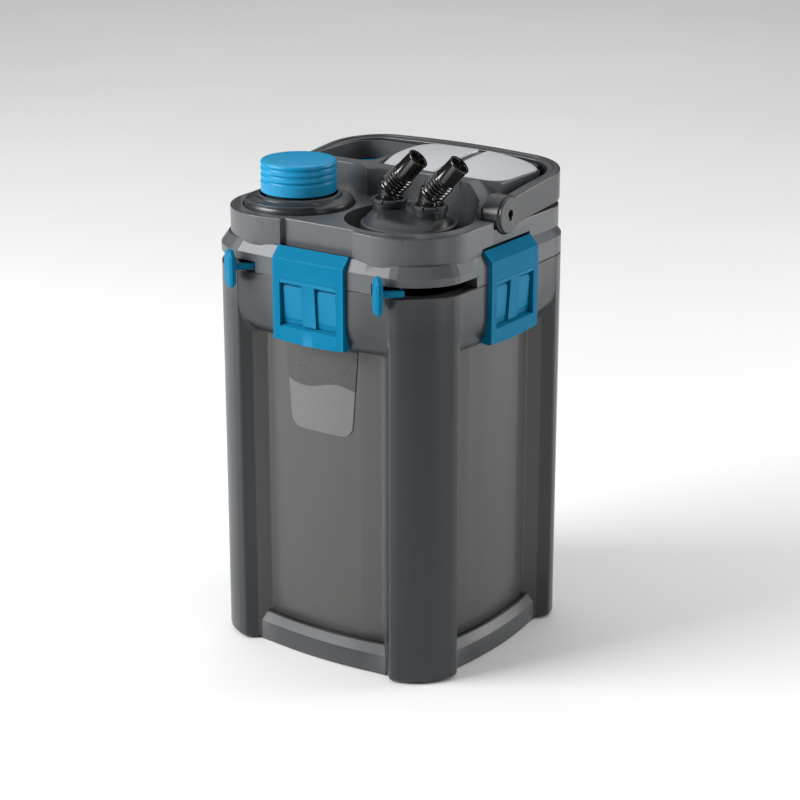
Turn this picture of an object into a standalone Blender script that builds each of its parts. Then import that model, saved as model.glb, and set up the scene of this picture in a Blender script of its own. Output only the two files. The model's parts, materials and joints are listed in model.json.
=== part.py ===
"""Canister filter with built-in pump, modelled as an assembly of separate pieces.

Units are metres, +Z is up. The origin is the centre of the underside, on the surface the filter
stands on. The front, with the label, faces -Y. Run with: blender --background --python part.py
"""
import math

import bmesh
import bpy
from mathutils import Matrix, Vector

# ---------------------------------------------------------------- driving dimensions (metres)
HALF_X = 0.118                 # half width over the corner pillars
HALF_Y = 0.1154                # half depth over the corner pillars
PILLAR = 0.0412                # from the corner of the plan to the edge of a pillar
PILLAR_STRIP = 0.0069          # narrow strip beside the corner facet
STRIP_DROP = 0.0014            # how far that strip turns away from the face
FACET_BULGE = 0.0052           # crown of the corner facet
RECESS = 0.0176                # depth of the side panels behind the pillars
PANEL_BULGE = 0.0056           # crown of a side panel
PANEL_CROWN_Y = HALF_Y - RECESS + PANEL_BULGE
BAND_BULGE = 0.0020            # crown of the collar and the head band
FLUSH = 0.0003                 # recess that stands for none
GAP = 0.0003                   # clearance between neighbouring pieces
PILLAR_FOOT_Z = 0.0012         # underside of the pillars, above the pads
PANEL_TOP_Z = 0.281            # where the panels meet the swell of the collar
COLLAR_LOW_Z = 0.308           # where the swell becomes the upright collar
PARTING_Z = 0.336              # joint between canister and head
BAND_TOP_Z = 0.352
CHAMFER_TOP_Z = 0.361
CHAMFER_INSET = 0.0065
CROWN_Z = 0.383                # rim of the two towers
WALL_Z = 0.407                 # top edge of the pump housing's front wall
DECK_Z = 0.399                 # housing top under the covers
FLOOR_Z = 0.010                # inside floor of the canister
TRAY_LOW_Z = 0.0                # the tray stands on the ground with the pads
TRAY_TOP_Z = 0.0045
SKIRT_TOP_Z = 0.0257
PLUG_LOW_Z = 0.324             # lowest point of the flange that enters the canister
PLUG_INSET = 0.0088
CAVITY_INSET = 0.0138

PREFILTER_AXIS = Vector((-0.057, -0.055, 0.0))
ADAPTOR_AXIS = Vector((0.049, -0.046, 0.0))
TOWER_AXIS = Vector((0.0594, -0.0569, 0.0))
TOWER_R = 0.0547
PREFILTER_WELL_R = 0.0475
ADAPTOR_WELL_R = 0.0535
ADAPTOR_FLOOR_Z = 0.366
PUMP_AXIS = Vector((0.035, 0.055, 0.0))
HEATER_AXIS = Vector((-0.060, 0.054, 0.0))
HEATER_FLOOR_Z = 0.3850         # floor of the recess round the auxiliary port
HEATER_BOSS_Z = 0.3880          # boss that the port's cap sits on

HANDLE_Y = -0.001              # the handle turns about an axis along X
HANDLE_Z = 0.386
HUB_R = 0.016
HANDLE_OUT_X = 0.116
HANDLE_OUT_Y = 0.1125
HANDLE_THICK = 0.011
PIN_R = 0.005
PIN_HOLE_IN_X = 0.0898          # inner end of a pin's hole, clear of the adaptor well

LATCH_HALF = 0.0355            # half width of a latch
LATCH_LOW_Z = 0.283
LATCH_TOP_Z = 0.3625
LATCH_PROUD = 0.0052           # outer face beyond the pillar face
LATCH_THICK = 0.0055
LATCH_PIVOT_Z = 0.3545
LATCH_PIVOT_IN = 0.0036        # pivot behind the pillar face
LATCH_SWING_R = 0.0098
LATCH_CLEAR = 0.0009           # room beside a latch
LATCH_SEAT_DEPTH = 0.0012      # seat behind the pillar face

LEVER_Z = 0.3405               # mid height of the lock levers
LEVER_THICK = 0.0046
SLOT_LOW_Z = 0.3362
SLOT_TOP_Z = 0.3452

NOZZLE_OFFSET = 0.0200         # of each nozzle from the adaptor's axis
NOZZLE_LEAN = math.radians(43)
NOZZLE_YAW = math.radians(10)
NOZZLE_BEND_Z = 0.4045
NOZZLE_REACH = 0.0385          # from the bend to the mouth

CAP_R = 0.032
CAP_LOW_Z = 0.3938
CAP_TOP_Z = 0.421

COLOURS = {
    "dark_grey": ((0.085, 0.090, 0.096), 0.45, 0.0),
    "blue": ((0.006, 0.135, 0.330), 0.38, 0.0),
    "silver": ((0.55, 0.57, 0.59), 0.35, 0.2),
    "black": ((0.008, 0.009, 0.010), 0.18, 0.0),
    "rubber": ((0.020, 0.020, 0.020), 0.75, 0.0),
    "steel": ((0.60, 0.60, 0.62), 0.28, 1.0),
    "ceramic": ((0.80, 0.79, 0.75), 0.50, 0.0),
    "foam_blue": ((0.05, 0.20, 0.45), 0.95, 0.0),
    "foam_orange": ((0.75, 0.25, 0.04), 0.95, 0.0),
    "foam_black": ((0.03, 0.03, 0.03), 0.95, 0.0),
    "label": ((0.22, 0.22, 0.22), 0.30, 0.0),
}


# ---------------------------------------------------------------- scene set-up
def clear_scene():
    for old in list(bpy.data.objects):
        bpy.data.objects.remove(old, do_unlink=True)


def collection(name):
    made = bpy.data.collections.new(name)
    bpy.context.scene.collection.children.link(made)
    return made


clear_scene()
PARTS = collection("canister_filter")
CUTTERS = collection("cutters")


def material(name):
    if name in bpy.data.materials:
        return bpy.data.materials[name]
    colour, roughness, metallic = COLOURS[name]
    made = bpy.data.materials.new(name)
    made.use_nodes = True
    shader = made.node_tree.nodes["Principled BSDF"]
    shader.inputs["Base Color"].default_value = (*colour, 1.0)
    shader.inputs["Roughness"].default_value = roughness
    shader.inputs["Metallic"].default_value = metallic
    return made


# ---------------------------------------------------------------- geometry helpers
def add_object(name, mesh, colour=None):
    """Put a mesh in the parts collection, or among the cutters when it has no colour."""
    made = bpy.data.objects.new(name, mesh)
    if colour is None:
        CUTTERS.objects.link(made)
        made.hide_render = True
        made.display_type = "WIRE"
    else:
        PARTS.objects.link(made)
        mesh.materials.append(material(colour))
    return made


def mesh_of(work, name):
    mesh = bpy.data.meshes.new(name)
    bmesh.ops.recalc_face_normals(work, faces=work.faces)
    work.to_mesh(mesh)
    work.free()
    return mesh


def smooth(made, degrees=35):
    made.data.shade_smooth()
    made.data.set_sharp_from_angle(angle=math.radians(degrees))
    return made


def cylinder(name, radius, low, high, at=(0, 0), colour=None, sides=32):
    work = bmesh.new()
    bmesh.ops.create_cone(work, cap_ends=True, segments=sides, radius1=radius, radius2=radius,
                          depth=high - low)
    bmesh.ops.translate(work, vec=(at[0], at[1], (low + high) / 2), verts=work.verts)
    made = add_object(name, mesh_of(work, name), colour)
    return smooth(made)


def cylinder_x(name, radius, low, high, y, z, colour=None, sides=32):
    """A cylinder along X from low to high."""
    work = bmesh.new()
    bmesh.ops.create_cone(work, cap_ends=True, segments=sides, radius1=radius, radius2=radius,
                          depth=high - low)
    bmesh.ops.rotate(work, matrix=Matrix.Rotation(math.pi / 2, 3, "Y"), verts=work.verts)
    bmesh.ops.translate(work, vec=((low + high) / 2, y, z), verts=work.verts)
    made = add_object(name, mesh_of(work, name), colour)
    return smooth(made)


def box(name, low, high, colour=None):
    work = bmesh.new()
    bmesh.ops.create_cube(work, size=1.0)
    size = [b - a for a, b in zip(low, high)]
    bmesh.ops.scale(work, vec=size, verts=work.verts)
    middle = [(a + b) / 2 for a, b in zip(low, high)]
    bmesh.ops.translate(work, vec=middle, verts=work.verts)
    return add_object(name, mesh_of(work, name), colour)


def turned(name, profile, at=(0, 0), colour=None, steps=28):
    """Turn a (radius, z) profile about a vertical axis with a Screw modifier.

    The profile runs down its outer side. It is closed unless it starts and ends on the axis.
    """
    work = bmesh.new()
    points = [work.verts.new((r, 0, z)) for r, z in profile]
    starts_on_axis = profile[0][0] == 0
    followers = points[1:] if starts_on_axis else points[1:] + points[:1]
    for first, second in zip(points, followers):
        work.edges.new((first, second))
    mesh = bpy.data.meshes.new(name)
    work.to_mesh(mesh)
    work.free()
    made = add_object(name, mesh, colour)
    made.location = (at[0], at[1], 0)
    screw = made.modifiers.new("turn", "SCREW")
    screw.steps = steps
    screw.render_steps = steps
    screw.use_merge_vertices = True
    screw.merge_threshold = 0.00005
    screw.use_smooth_shade = False
    return made


def prism(name, outline, low, high, colour=None):
    """Upright prism on a plan outline. low and high are heights, or functions of (x, y)."""
    low_at = low if callable(low) else (lambda x, y: low)
    high_at = high if callable(high) else (lambda x, y: high)
    rings = [[(x, y, low_at(x, y)) for x, y in outline], [(x, y, high_at(x, y)) for x, y in outline]]
    return loft(name, rings, colour)


def loft(name, rings, colour=None, closed=False):
    """Skin between rings that have equal numbers of points. A closed loft joins its two ends."""
    work = bmesh.new()
    rows = [[work.verts.new(point) for point in ring] for ring in rings]
    count = len(rows[0])
    pairs = list(zip(rows, rows[1:]))
    if closed:
        pairs.append((rows[-1], rows[0]))
    for lower, upper in pairs:
        for i in range(count):
            j = (i + 1) % count
            work.faces.new((lower[i], lower[j], upper[j], upper[i]))
    if not closed:
        work.faces.new(rows[0][::-1])
        work.faces.new(rows[-1])
    return add_object(name, mesh_of(work, name), colour)


def boolean(target, other, operation):
    modifier = target.modifiers.new(other.name, "BOOLEAN")
    modifier.operation = operation
    modifier.object = other
    modifier.solver = "EXACT"
    return target


def cut(target, *cutters):
    for cutter in cutters:
        boolean(target, cutter, "DIFFERENCE")
    return target


def join(target, *additions):
    for addition in additions:
        boolean(target, addition, "UNION")
    return target


def arc(centre, radius, start, stop, count):
    """Points on an arc, angles in degrees, both ends included."""
    points = []
    for i in range(count):
        angle = math.radians(start + (stop - start) * i / (count - 1))
        points.append((centre[0] + radius * math.cos(angle), centre[1] + radius * math.sin(angle)))
    return points


def mirrored(points):
    """The same outline points reflected in the plane x = 0, in reverse order."""
    return [(-x, y) for x, y in reversed(points)]


# ---------------------------------------------------------------- plan outlines
def side_points(half_along, half_out, pillar, recess, bulge):
    """One side of the plan, seen with the side facing -Y: x runs along it."""
    edge = half_along - pillar
    inner = edge - recess
    points = [(-edge, -half_out), (-inner, -half_out + recess)]
    for share in (-0.6, -0.2, 0.2, 0.6):
        points.append((inner * share, -half_out + recess - bulge * (1 - share * share)))
    points += [(inner, -half_out + recess), (edge, -half_out)]
    return points


def corner_points(half_along, half_out, pillar):
    """The facet between the side facing -Y and the side facing +X."""
    start = Vector((half_along - pillar + PILLAR_STRIP, -half_out + STRIP_DROP))
    end = Vector((half_along - STRIP_DROP, -half_out + pillar - PILLAR_STRIP))
    outward = Vector((1, -1)).normalized()
    points = []
    for share in (0, 1 / 3, 2 / 3, 1):
        lift = FACET_BULGE * 4 * share * (1 - share)
        points.append(tuple(start.lerp(end, share) + outward * lift))
    return points


def plan(inset=0.0, recess=FLUSH, bulge=BAND_BULGE):
    """Outline of the canister, moved inwards by inset, with the panels set back by recess."""
    half_x = HALF_X - inset
    half_y = HALF_Y - inset
    pillar = PILLAR - inset * (2 - math.sqrt(2))
    outline = []
    for quarter in range(4):
        along, out = (half_x, half_y) if quarter % 2 == 0 else (half_y, half_x)
        turn = Matrix.Rotation(math.pi / 2 * quarter, 2)
        points = side_points(along, out, pillar, recess, bulge) + corner_points(along, out, pillar)
        outline += [tuple(turn @ Vector(point)) for point in points]
    return outline


def at_height(outline, z):
    return [(x, y, z) for x, y in outline]


def turned_about_z(name, made, quarter):
    """Turn an object made for the front (-Y) side to another side."""
    made.name = name
    made.rotation_euler = (0, 0, math.pi / 2 * quarter)
    return made


# ---------------------------------------------------------------- canister
def canister_shell():
    foot_inset = 0.003
    foot_round_z = 0.005
    rings = [at_height(plan(foot_inset, RECESS, PANEL_BULGE), PILLAR_FOOT_Z),
             at_height(plan(0, RECESS, PANEL_BULGE), foot_round_z),
             at_height(plan(0, RECESS, PANEL_BULGE), PANEL_TOP_Z)]
    swell_steps = 5
    for i in range(1, swell_steps + 1):
        angle = math.pi / 2 * i / swell_steps
        share = math.sin(angle)
        recess = RECESS + (FLUSH - RECESS) * share
        bulge = PANEL_BULGE + (BAND_BULGE - PANEL_BULGE) * share
        z = COLLAR_LOW_Z - (COLLAR_LOW_Z - PANEL_TOP_Z) * math.cos(angle)
        rings.append(at_height(plan(0, recess, bulge), z))
    rings.append(at_height(plan(), PARTING_Z - GAP))
    shell = loft("canister", rings, "dark_grey")
    cut(shell, tank_cavity(), tray_pocket())
    for quarter in range(4):
        seat_name = "canister_latch_seat_%d" % quarter
        cut(shell, latch_seat(seat_name, quarter, LATCH_LOW_Z - 0.004, PARTING_Z + 0.001))
    for quarter in range(4):
        join(shell, latch_rib("latch_rib_%d" % quarter, quarter))
    return shell


def tank_cavity():
    wall = 0.0205
    upper_inset = 0.0046
    narrow = plan(wall, FLUSH, PANEL_BULGE)
    wide = plan(upper_inset)
    return loft("tank_cavity", [at_height(narrow, FLOOR_Z), at_height(narrow, 0.288),
                                at_height(wide, 0.312), at_height(wide, PARTING_Z + 0.01)])


def tray_pocket():
    """Room under the tank for the base tray, between the pillars."""
    clearance = 0.0008
    outline = tray_outline(RECESS - 0.0099 - clearance)
    return prism("tray_pocket", outline, -0.01, TRAY_TOP_Z + 0.0005)


def tray_outline(set_back):
    """Cross-shaped plan of the tray: the space between the pillars."""
    outline = []
    for quarter in range(4):
        along, out = (HALF_X, HALF_Y) if quarter % 2 == 0 else (HALF_Y, HALF_X)
        turn = Matrix.Rotation(math.pi / 2 * quarter, 2)
        shift = 0.0099
        edge = along - PILLAR - shift - 0.0006
        depth = -out + shift
        inner_corner = (along - PILLAR - 0.030, -out + 0.030)
        side = [(-inner_corner[0], inner_corner[1]), (-edge, depth)]
        for share in (-0.5, 0.0, 0.5):
            side.append((edge * share, depth - PANEL_BULGE * (1 - share * share)))
        side += [(edge, depth), inner_corner]
        outline += [tuple(turn @ Vector(point)) for point in side]
    return outline


def base_tray():
    """Bottom plate with four low skirts that stand in front of the side panels."""
    outline = tray_outline(0)
    top = []
    chamfer_low_z = 0.0175
    chamfer = 0.0030
    for x, y in outline:
        reach = math.hypot(x, y)
        top.append((x * (1 - chamfer / reach), y * (1 - chamfer / reach)))
    tray = loft("base_tray", [at_height(outline, TRAY_LOW_Z), at_height(outline, chamfer_low_z),
                              at_height(top, SKIRT_TOP_Z)], "dark_grey")
    tank_room = plan(-GAP, RECESS, PANEL_BULGE)
    cutter = loft("tray_inner", [at_height(tank_room, TRAY_TOP_Z), at_height(tank_room, 0.05)])
    return cut(tray, cutter)


def foot_pads():
    """Rubber pads under the four pillars."""
    spots = {"front_left": (-1, -1), "front_right": (1, -1), "rear_right": (1, 1), "rear_left": (-1, 1)}
    for name, (side_x, side_y) in spots.items():
        at = (side_x * 0.0905, side_y * 0.088)
        cylinder("foot_pad_" + name, 0.0125, 0.0, PILLAR_FOOT_Z - 0.0001, at, "rubber", 20)


def latch_seat(name, quarter, low, high):
    """Flat seat behind a latch, cut into collar or band."""
    half = LATCH_HALF + LATCH_CLEAR
    out = HALF_Y if quarter % 2 == 0 else HALF_X
    seat = box(name, (-half, -out - 0.02, low), (half, -out + LATCH_SEAT_DEPTH, high))
    return turned_about_z(name, seat, quarter)


def latch_rib(name, quarter):
    """Rib in the seat of a latch, behind its catch. The lever passes it when the head is lifted."""
    out = HALF_Y if quarter % 2 == 0 else HALF_X
    half = 0.022
    proud = LATCH_SEAT_DEPTH - 0.0005
    rib = box(name, (-half, -out + proud, 0.3045), (half, -out + 0.004, 0.3085))
    return turned_about_z(name, rib, quarter)


def label_plate():
    """Thin shield-shaped plate on the front panel."""
    half_top = 0.0335
    half_low = 0.0225
    top_z = 0.2795
    low_z = 0.2110
    outline = [(-half_top, top_z), (-half_low - 0.002, low_z + 0.009), (-half_low + 0.008, low_z),
               (half_low - 0.008, low_z), (half_low + 0.002, low_z + 0.009), (half_top, top_z)]
    work = bmesh.new()
    lift = 0.0007
    rows = []
    for depth in (0.0, lift):
        face_y = -PANEL_CROWN_Y - GAP - depth
        rows.append([work.verts.new((x, face_y, z)) for x, z in outline])
    count = len(outline)
    for i in range(count):
        j = (i + 1) % count
        work.faces.new((rows[0][i], rows[0][j], rows[1][j], rows[1][i]))
    work.faces.new(rows[0])
    work.faces.new(rows[1][::-1])
    return add_object("label_plate", mesh_of(work, "label_plate"), "label")


# ---------------------------------------------------------------- filter media inside
def basket_outline(shrink=0.0):
    """Rounded square with a round corner left out for the prefilter."""
    half_x = 0.0915 - shrink
    half_y = 0.0890 - shrink
    corner = 0.016
    bay = 0.0435 + shrink
    centre = PREFILTER_AXIS
    outline = arc((half_x - corner, -half_y + corner), corner, -90, 0, 4)
    outline += arc((half_x - corner, half_y - corner), corner, 0, 90, 4)
    outline += arc((-half_x + corner, half_y - corner), corner, 90, 180, 4)
    up = math.degrees(math.acos((-half_x - centre.x) / bay))
    down = -math.degrees(math.asin((half_y + centre.y) / bay))
    outline += arc((centre.x, centre.y), bay, up, down, 9)
    return outline


def basket(number, low):
    height = 0.0950
    wall = 0.0020
    name = "filter_basket_%d" % number
    tray = prism(name, basket_outline(), low, low + height, "dark_grey")
    room = prism(name + "_room", basket_outline(wall), low + wall, low + height + 0.01)
    cut(tray, room)
    slot_half = 0.0030
    for i, y in enumerate((-0.02, 0.01, 0.04, 0.07)):
        slot = box("%s_slot_%d" % (name, i), (-0.005, y - slot_half, low - 0.01),
                   (0.075, y + slot_half, low + 0.01))
        cut(tray, slot)
    return tray


def baskets_and_media():
    media = ("coarse_foam", "bio_media", "fine_foam")
    colours = ("foam_blue", "ceramic", "foam_black")
    pitch = 0.0980
    for i, (name, colour) in enumerate(zip(media, colours)):
        low = FLOOR_Z + 0.002 + pitch * i
        basket(i + 1, low)
        prism(name, basket_outline(0.0026), low + 0.0026, low + 0.086, colour)


# ---------------------------------------------------------------- head shell
def tower_front():
    """Right half of the crown's front: the set-back wall, a short flank and the round tower."""
    return [(0.0350, -0.1040), (0.0378, -0.1078)] + arc(TOWER_AXIS, TOWER_R, -109, 0, 12)


def crown_outline(half_x, rear_y):
    """Plan of the crown: two round towers in front, a rounded rectangle behind."""
    rear_r = 0.040
    right = tower_front()
    right += [(half_x, -0.040), (half_x, rear_y - rear_r)]
    right += arc((half_x - rear_r, rear_y - rear_r), rear_r, 10, 90, 6)
    return right + mirrored(right)


def band_block():
    rings = [at_height(plan(PLUG_INSET), PLUG_LOW_Z), at_height(plan(PLUG_INSET), PARTING_Z),
             at_height(plan(), PARTING_Z), at_height(plan(), BAND_TOP_Z),
             at_height(plan(CHAMFER_INSET), CHAMFER_TOP_Z)]
    return loft("head_shell", rings, "dark_grey")


def housing_outline():
    """Plan of the pump housing behind the wells, with two hollow arcs in its front wall."""
    left_wall = arc((PREFILTER_AXIS.x, PREFILTER_AXIS.y), 0.062, 121, 58.8, 8)
    right_wall = arc((0.0301, -0.1278), 0.1373, 113, 71, 8)
    front = left_wall + right_wall[1:] + [(0.0975, -0.014)]
    rear_r = 0.030
    half = 0.0995
    rear_y = 0.0970
    outline = front + [(half, -0.010), (half, rear_y - rear_r)]
    outline += arc((half - rear_r, rear_y - rear_r), rear_r, 10, 90, 5)
    outline += mirrored(arc((half - rear_r, rear_y - rear_r), rear_r, 0, 90, 5))
    outline += [(-half, -0.010), (-0.0975, -0.006)]
    return outline


def housing_shoulder(name, sign):
    """Slanted cut that takes the housing down towards a handle pivot."""
    start = 0.074
    end = 0.130
    slope = 0.55
    low_end = WALL_Z - (end - start) * slope
    section = [(start, WALL_Z), (end, low_end), (end, 0.45), (start, 0.45)]
    return loft(name, [[(sign * x, y, z) for x, z in section] for y in (-0.06, 0.12)])


def head_shell():
    shell = band_block()
    lower_crown = prism("crown_low", crown_outline(0.1140, 0.1115), 0.359, 0.3765)
    towers = prism("crown_towers", towers_outline(), 0.3760, CROWN_Z)
    housing = prism("pump_housing", housing_outline(), 0.3755, WALL_Z)
    cut(housing, housing_shoulder("right_shoulder", 1), housing_shoulder("left_shoulder", -1))
    join(shell, lower_crown, towers, housing)
    join(shell, cylinder("heater_boss", 0.0260, 0.3750, HEATER_BOSS_Z, HEATER_AXIS.xy, None, 32))
    cut(shell, head_cavity(), cover_pocket(), heater_pocket(), pump_bay())
    cut(shell, cylinder("prefilter_bore", 0.0418, 0.30, 0.45, PREFILTER_AXIS.xy, None, 40),
        cylinder("prefilter_well", PREFILTER_WELL_R, 0.3785, 0.45, PREFILTER_AXIS.xy, None, 40),
        cylinder("adaptor_well", ADAPTOR_WELL_R, ADAPTOR_FLOOR_Z, 0.45, ADAPTOR_AXIS.xy, None, 40),
        cylinder("adaptor_bore", 0.0295, 0.30, 0.45, ADAPTOR_AXIS.xy, None, 32))
    for side, sign in (("right", 1), ("left", -1)):
        ends = sorted((sign * 0.0998, sign * 0.130))
        cut(shell, cylinder_x("hub_room_" + side, HUB_R + 0.0008, ends[0], ends[1], HANDLE_Y, HANDLE_Z))
        ends = sorted((sign * PIN_HOLE_IN_X, sign * 0.130))
        cut(shell, cylinder_x("pin_hole_" + side, PIN_R + GAP, ends[0], ends[1], HANDLE_Y, HANDLE_Z,
                              None, 16))
    for quarter in range(4):
        seat_name = "head_latch_seat_%d" % quarter
        cut(shell, latch_seat(seat_name, quarter, 0.330, LATCH_PIVOT_Z), latch_hinge_room(quarter))
    cut(shell, lever_slot("right_slot", ADAPTOR_AXIS, -81, -4),
        lever_slot("left_slot", PREFILTER_AXIS, 184, 270))
    cut(shell, box("gland_hole", (-0.0075, 0.095, 0.3655), (0.0075, 0.125, 0.3715)))
    return shell


def towers_outline():
    """Plan of the raised rims in front of the handle hubs."""
    right = tower_front()
    right += [(0.1130, -0.040), (0.1130, -0.0195), (0.0990, -0.0195), (0.0990, 0.012)]
    return right + mirrored(right)


def head_cavity():
    """Hollow underside of the head, up to the deck."""
    rings = [at_height(plan(CAVITY_INSET), PLUG_LOW_Z - 0.01), at_height(plan(CAVITY_INSET), 0.348),
             at_height(plan(CAVITY_INSET + 0.005), 0.355)]
    return loft("head_cavity", rings)


def cover_pocket():
    """Recess that the two cover panels lie in."""
    outline = cover_outline(-0.0365, 0.0985, 0.0150, 0.0945)
    return prism("cover_pocket", outline, DECK_Z - 0.0003, 0.45)


def heater_pocket():
    """Recess around the blanking cap, behind the wall on the left."""
    outline = [(-0.0375, 0.0160), (-0.0375, 0.0945), (-0.060, 0.0945)]
    outline += arc((-0.0690, 0.0690), 0.0255, 90, 180, 5)
    outline += [(-0.0945, 0.0160)]
    return prism("heater_pocket", outline[::-1], HEATER_FLOOR_Z, 0.45)


def pump_bay():
    """Room for the motor block, open to the underside."""
    return box("pump_bay", (-0.012, 0.0155, 0.30), (0.082, 0.0925, DECK_Z - 0.0045))


def latch_hinge_room(quarter):
    """Round room for the top of a latch as it swings up."""
    name = "latch_hinge_room_%d" % quarter
    out = HALF_Y if quarter % 2 == 0 else HALF_X
    half = LATCH_HALF + LATCH_CLEAR
    room = cylinder_x(name, LATCH_SWING_R, -half, half, -out + LATCH_PIVOT_IN, LATCH_PIVOT_Z, None, 24)
    return turned_about_z(name, room, quarter)


def lever_slot(name, axis, start, stop):
    """Curved slot through the band for the arm of a lock lever."""
    outer = arc(axis, 0.100, start, stop, 14)
    inner = arc(axis, 0.044, stop, start, 14)
    return prism(name, outer + inner, SLOT_LOW_Z - 0.0005, SLOT_TOP_Z)


# ---------------------------------------------------------------- pieces on the head
def cover_outline(left, right, front, rear):
    rear_r = 0.024
    outline = [(left, front), (right - 0.004, front), (right, front + 0.004)]
    outline += arc((right - rear_r, rear - rear_r), rear_r, 0, 90, 5)
    outline += [(left, rear)]
    return outline


def cover_top(x, y):
    """The covers rise towards the rear and fall off to both sides."""
    front_z = 0.4046
    rise = 0.098
    right_fall = 0.150
    left_fall = 0.045
    front_y = 0.0165
    top = front_z + rise * (y - front_y)
    top -= right_fall * max(0.0, x - 0.040)
    return max(DECK_Z + 0.0008, top - left_fall * max(0.0, 0.015 - x))


def cover_left_outline():
    """The left cover's outer edge is bowed and its rear corner is round."""
    front_y = 0.0170
    return [(-0.0270, front_y), (0.0255, front_y), (0.0255, 0.0920), (-0.0210, 0.0920), (-0.0285, 0.0895),
            (-0.0330, 0.0840), (-0.0350, 0.0720), (-0.0345, 0.0560), (-0.0320, 0.0380)]


def pump_covers():
    prism("pump_cover_left", cover_left_outline(), DECK_Z, cover_top, "silver")
    right = cover_outline(0.0355, 0.0965, 0.0170, 0.0920)
    prism("pump_cover_right", right, DECK_Z, cover_top, "silver")
    strip = [(0.0260, 0.0170), (0.0350, 0.0170), (0.0350, 0.0920), (0.0260, 0.0920)]
    prism("cover_strip", strip, DECK_Z, lambda x, y: cover_top(x, y) - 0.0012, "dark_grey")


def head_seal():
    """Flat rubber ring under the band, between the plug flange and the canister wall."""
    outer = plan(0.0050)
    inner = plan(PLUG_INSET - GAP)
    rings = [at_height(outer, 0.3270), at_height(outer, 0.3320), at_height(inner, 0.3320),
             at_height(inner, 0.3270)]
    return loft("head_seal", rings, "rubber", closed=True)


def heater_port_cap():
    """Blue bayonet cap with a finger bar, over the auxiliary port."""
    top = 0.3940
    radius = 0.0190
    low = HEATER_BOSS_Z + GAP
    profile = [(0, top), (radius - 0.0020, top), (radius, top - 0.0018), (radius, low), (0, low)]
    return turned("heater_port_cap", profile, HEATER_AXIS.xy, "blue", 28)


def cable_gland():
    """Rubber gland in the rear wall, where the mains lead would leave."""
    gland = box("cable_gland", (-0.0070, 0.0975, 0.3659), (0.0070, 0.1135, 0.3711), "rubber")
    return gland


def motor_block():
    """Potted stator with a blind bore for the rotor."""
    low = 0.3485
    block = box("motor_block", (-0.0100, 0.0175, low), (0.0800, 0.0905, DECK_Z - 0.0050), "dark_grey")
    bore = cylinder("rotor_bore", 0.0138, 0.30, 0.3860, PUMP_AXIS.xy, None, 24)
    return cut(block, bore)


def pump_chamber_cover():
    """Round volute under the motor with an intake in its floor and an outlet to the side."""
    low = 0.3265
    outer = 0.0285
    cover = cylinder("pump_chamber_cover", outer, low, 0.3482, PUMP_AXIS.xy, "dark_grey", 32)
    room = cylinder("volute_room", outer - 0.003, low + 0.0035, 0.36, PUMP_AXIS.xy, None, 32)
    outlet = cylinder("volute_outlet", 0.0040, 0.0, 0.05, (0, 0), None, 16)
    outlet.rotation_euler = (math.pi / 2, 0, 0)
    outlet.location = (PUMP_AXIS.x + 0.014, PUMP_AXIS.y, 0.3425)
    cut(cover, room, outlet)
    for i in range(3):
        angle = 2 * math.pi * i / 3
        at = (PUMP_AXIS.x + 0.0085 * math.cos(angle), PUMP_AXIS.y + 0.0085 * math.sin(angle))
        cut(cover, cylinder("intake_%d" % i, 0.0042, 0.30, 0.345, at, None, 12))
    return cover


def shaft_and_bushes():
    at = PUMP_AXIS.xy
    cylinder("impeller_shaft", 0.0020, 0.3325, 0.3830, at, "ceramic", 16)
    for name, low, high in (("shaft_bush_upper", 0.3800, 0.3856), ("shaft_bush_lower", 0.3304, 0.3345)):
        bush = cylinder(name, 0.0042, low, high, at, "rubber", 16)
        cut(bush, cylinder(name + "_bore", 0.0023, 0.3320, 0.3834, at, None, 16))


def impeller():
    at = PUMP_AXIS.xy
    rotor = cylinder("rotor_magnet", 0.0120, 0.3490, 0.3785, at, "black", 24)
    cut(rotor, cylinder("rotor_shaft_hole", 0.0023, 0.30, 0.40, at, None, 16))
    wheel = cylinder("impeller_wheel", 0.0062, 0.3352, 0.3486, at, "ceramic", 16)
    for i in range(6):
        blade = box("blade_%d" % i, (0.0040, -0.0007, 0.3358), (0.0235, 0.0007, 0.3460))
        blade.location = (at.x, at.y, 0)
        blade.rotation_euler = (0, 0, 2 * math.pi * i / 6)
        join(wheel, blade)
    cut(wheel, cylinder("wheel_shaft_hole", 0.0023, 0.30, 0.40, at, None, 16))


def outlet_duct():
    """Flat duct under the deck from the volute to the adaptor."""
    duct = box("outlet_duct", (0.0415, -0.0150, 0.3433), (0.0565, 0.0170, 0.3520), "dark_grey")
    hole = box("outlet_duct_room", (0.0433, -0.03, 0.3451), (0.0547, 0.03, 0.3502))
    return cut(duct, hole)


# ---------------------------------------------------------------- handle
def handle_top(share):
    """Height of the handle's top edge along its path, 0 at a hub and 1 at the rear middle."""
    return 0.4000 + 0.0110 * math.sin(share * math.pi / 2)


def handle_low(share):
    """Lower edge: it rises behind the hub and falls again towards the rear."""
    return 0.3785 - 0.0010 * share


def handle_path():
    """Outer and inner plan points of the right half, from the hub to the rear middle."""
    outer_r = 0.045
    inner_r = outer_r - HANDLE_THICK
    centre = (HANDLE_OUT_X - outer_r, HANDLE_OUT_Y - outer_r)
    outer = [(HANDLE_OUT_X, HANDLE_Y + 0.004), (HANDLE_OUT_X, 0.035)]
    inner = [(HANDLE_OUT_X - HANDLE_THICK, HANDLE_Y + 0.004), (HANDLE_OUT_X - HANDLE_THICK, 0.035)]
    outer += arc(centre, outer_r, 0, 90, 8)
    inner += arc(centre, inner_r, 0, 90, 8)
    outer.append((0.0, HANDLE_OUT_Y + 0.0015))
    inner.append((0.0, HANDLE_OUT_Y - HANDLE_THICK))
    return outer, inner


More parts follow.
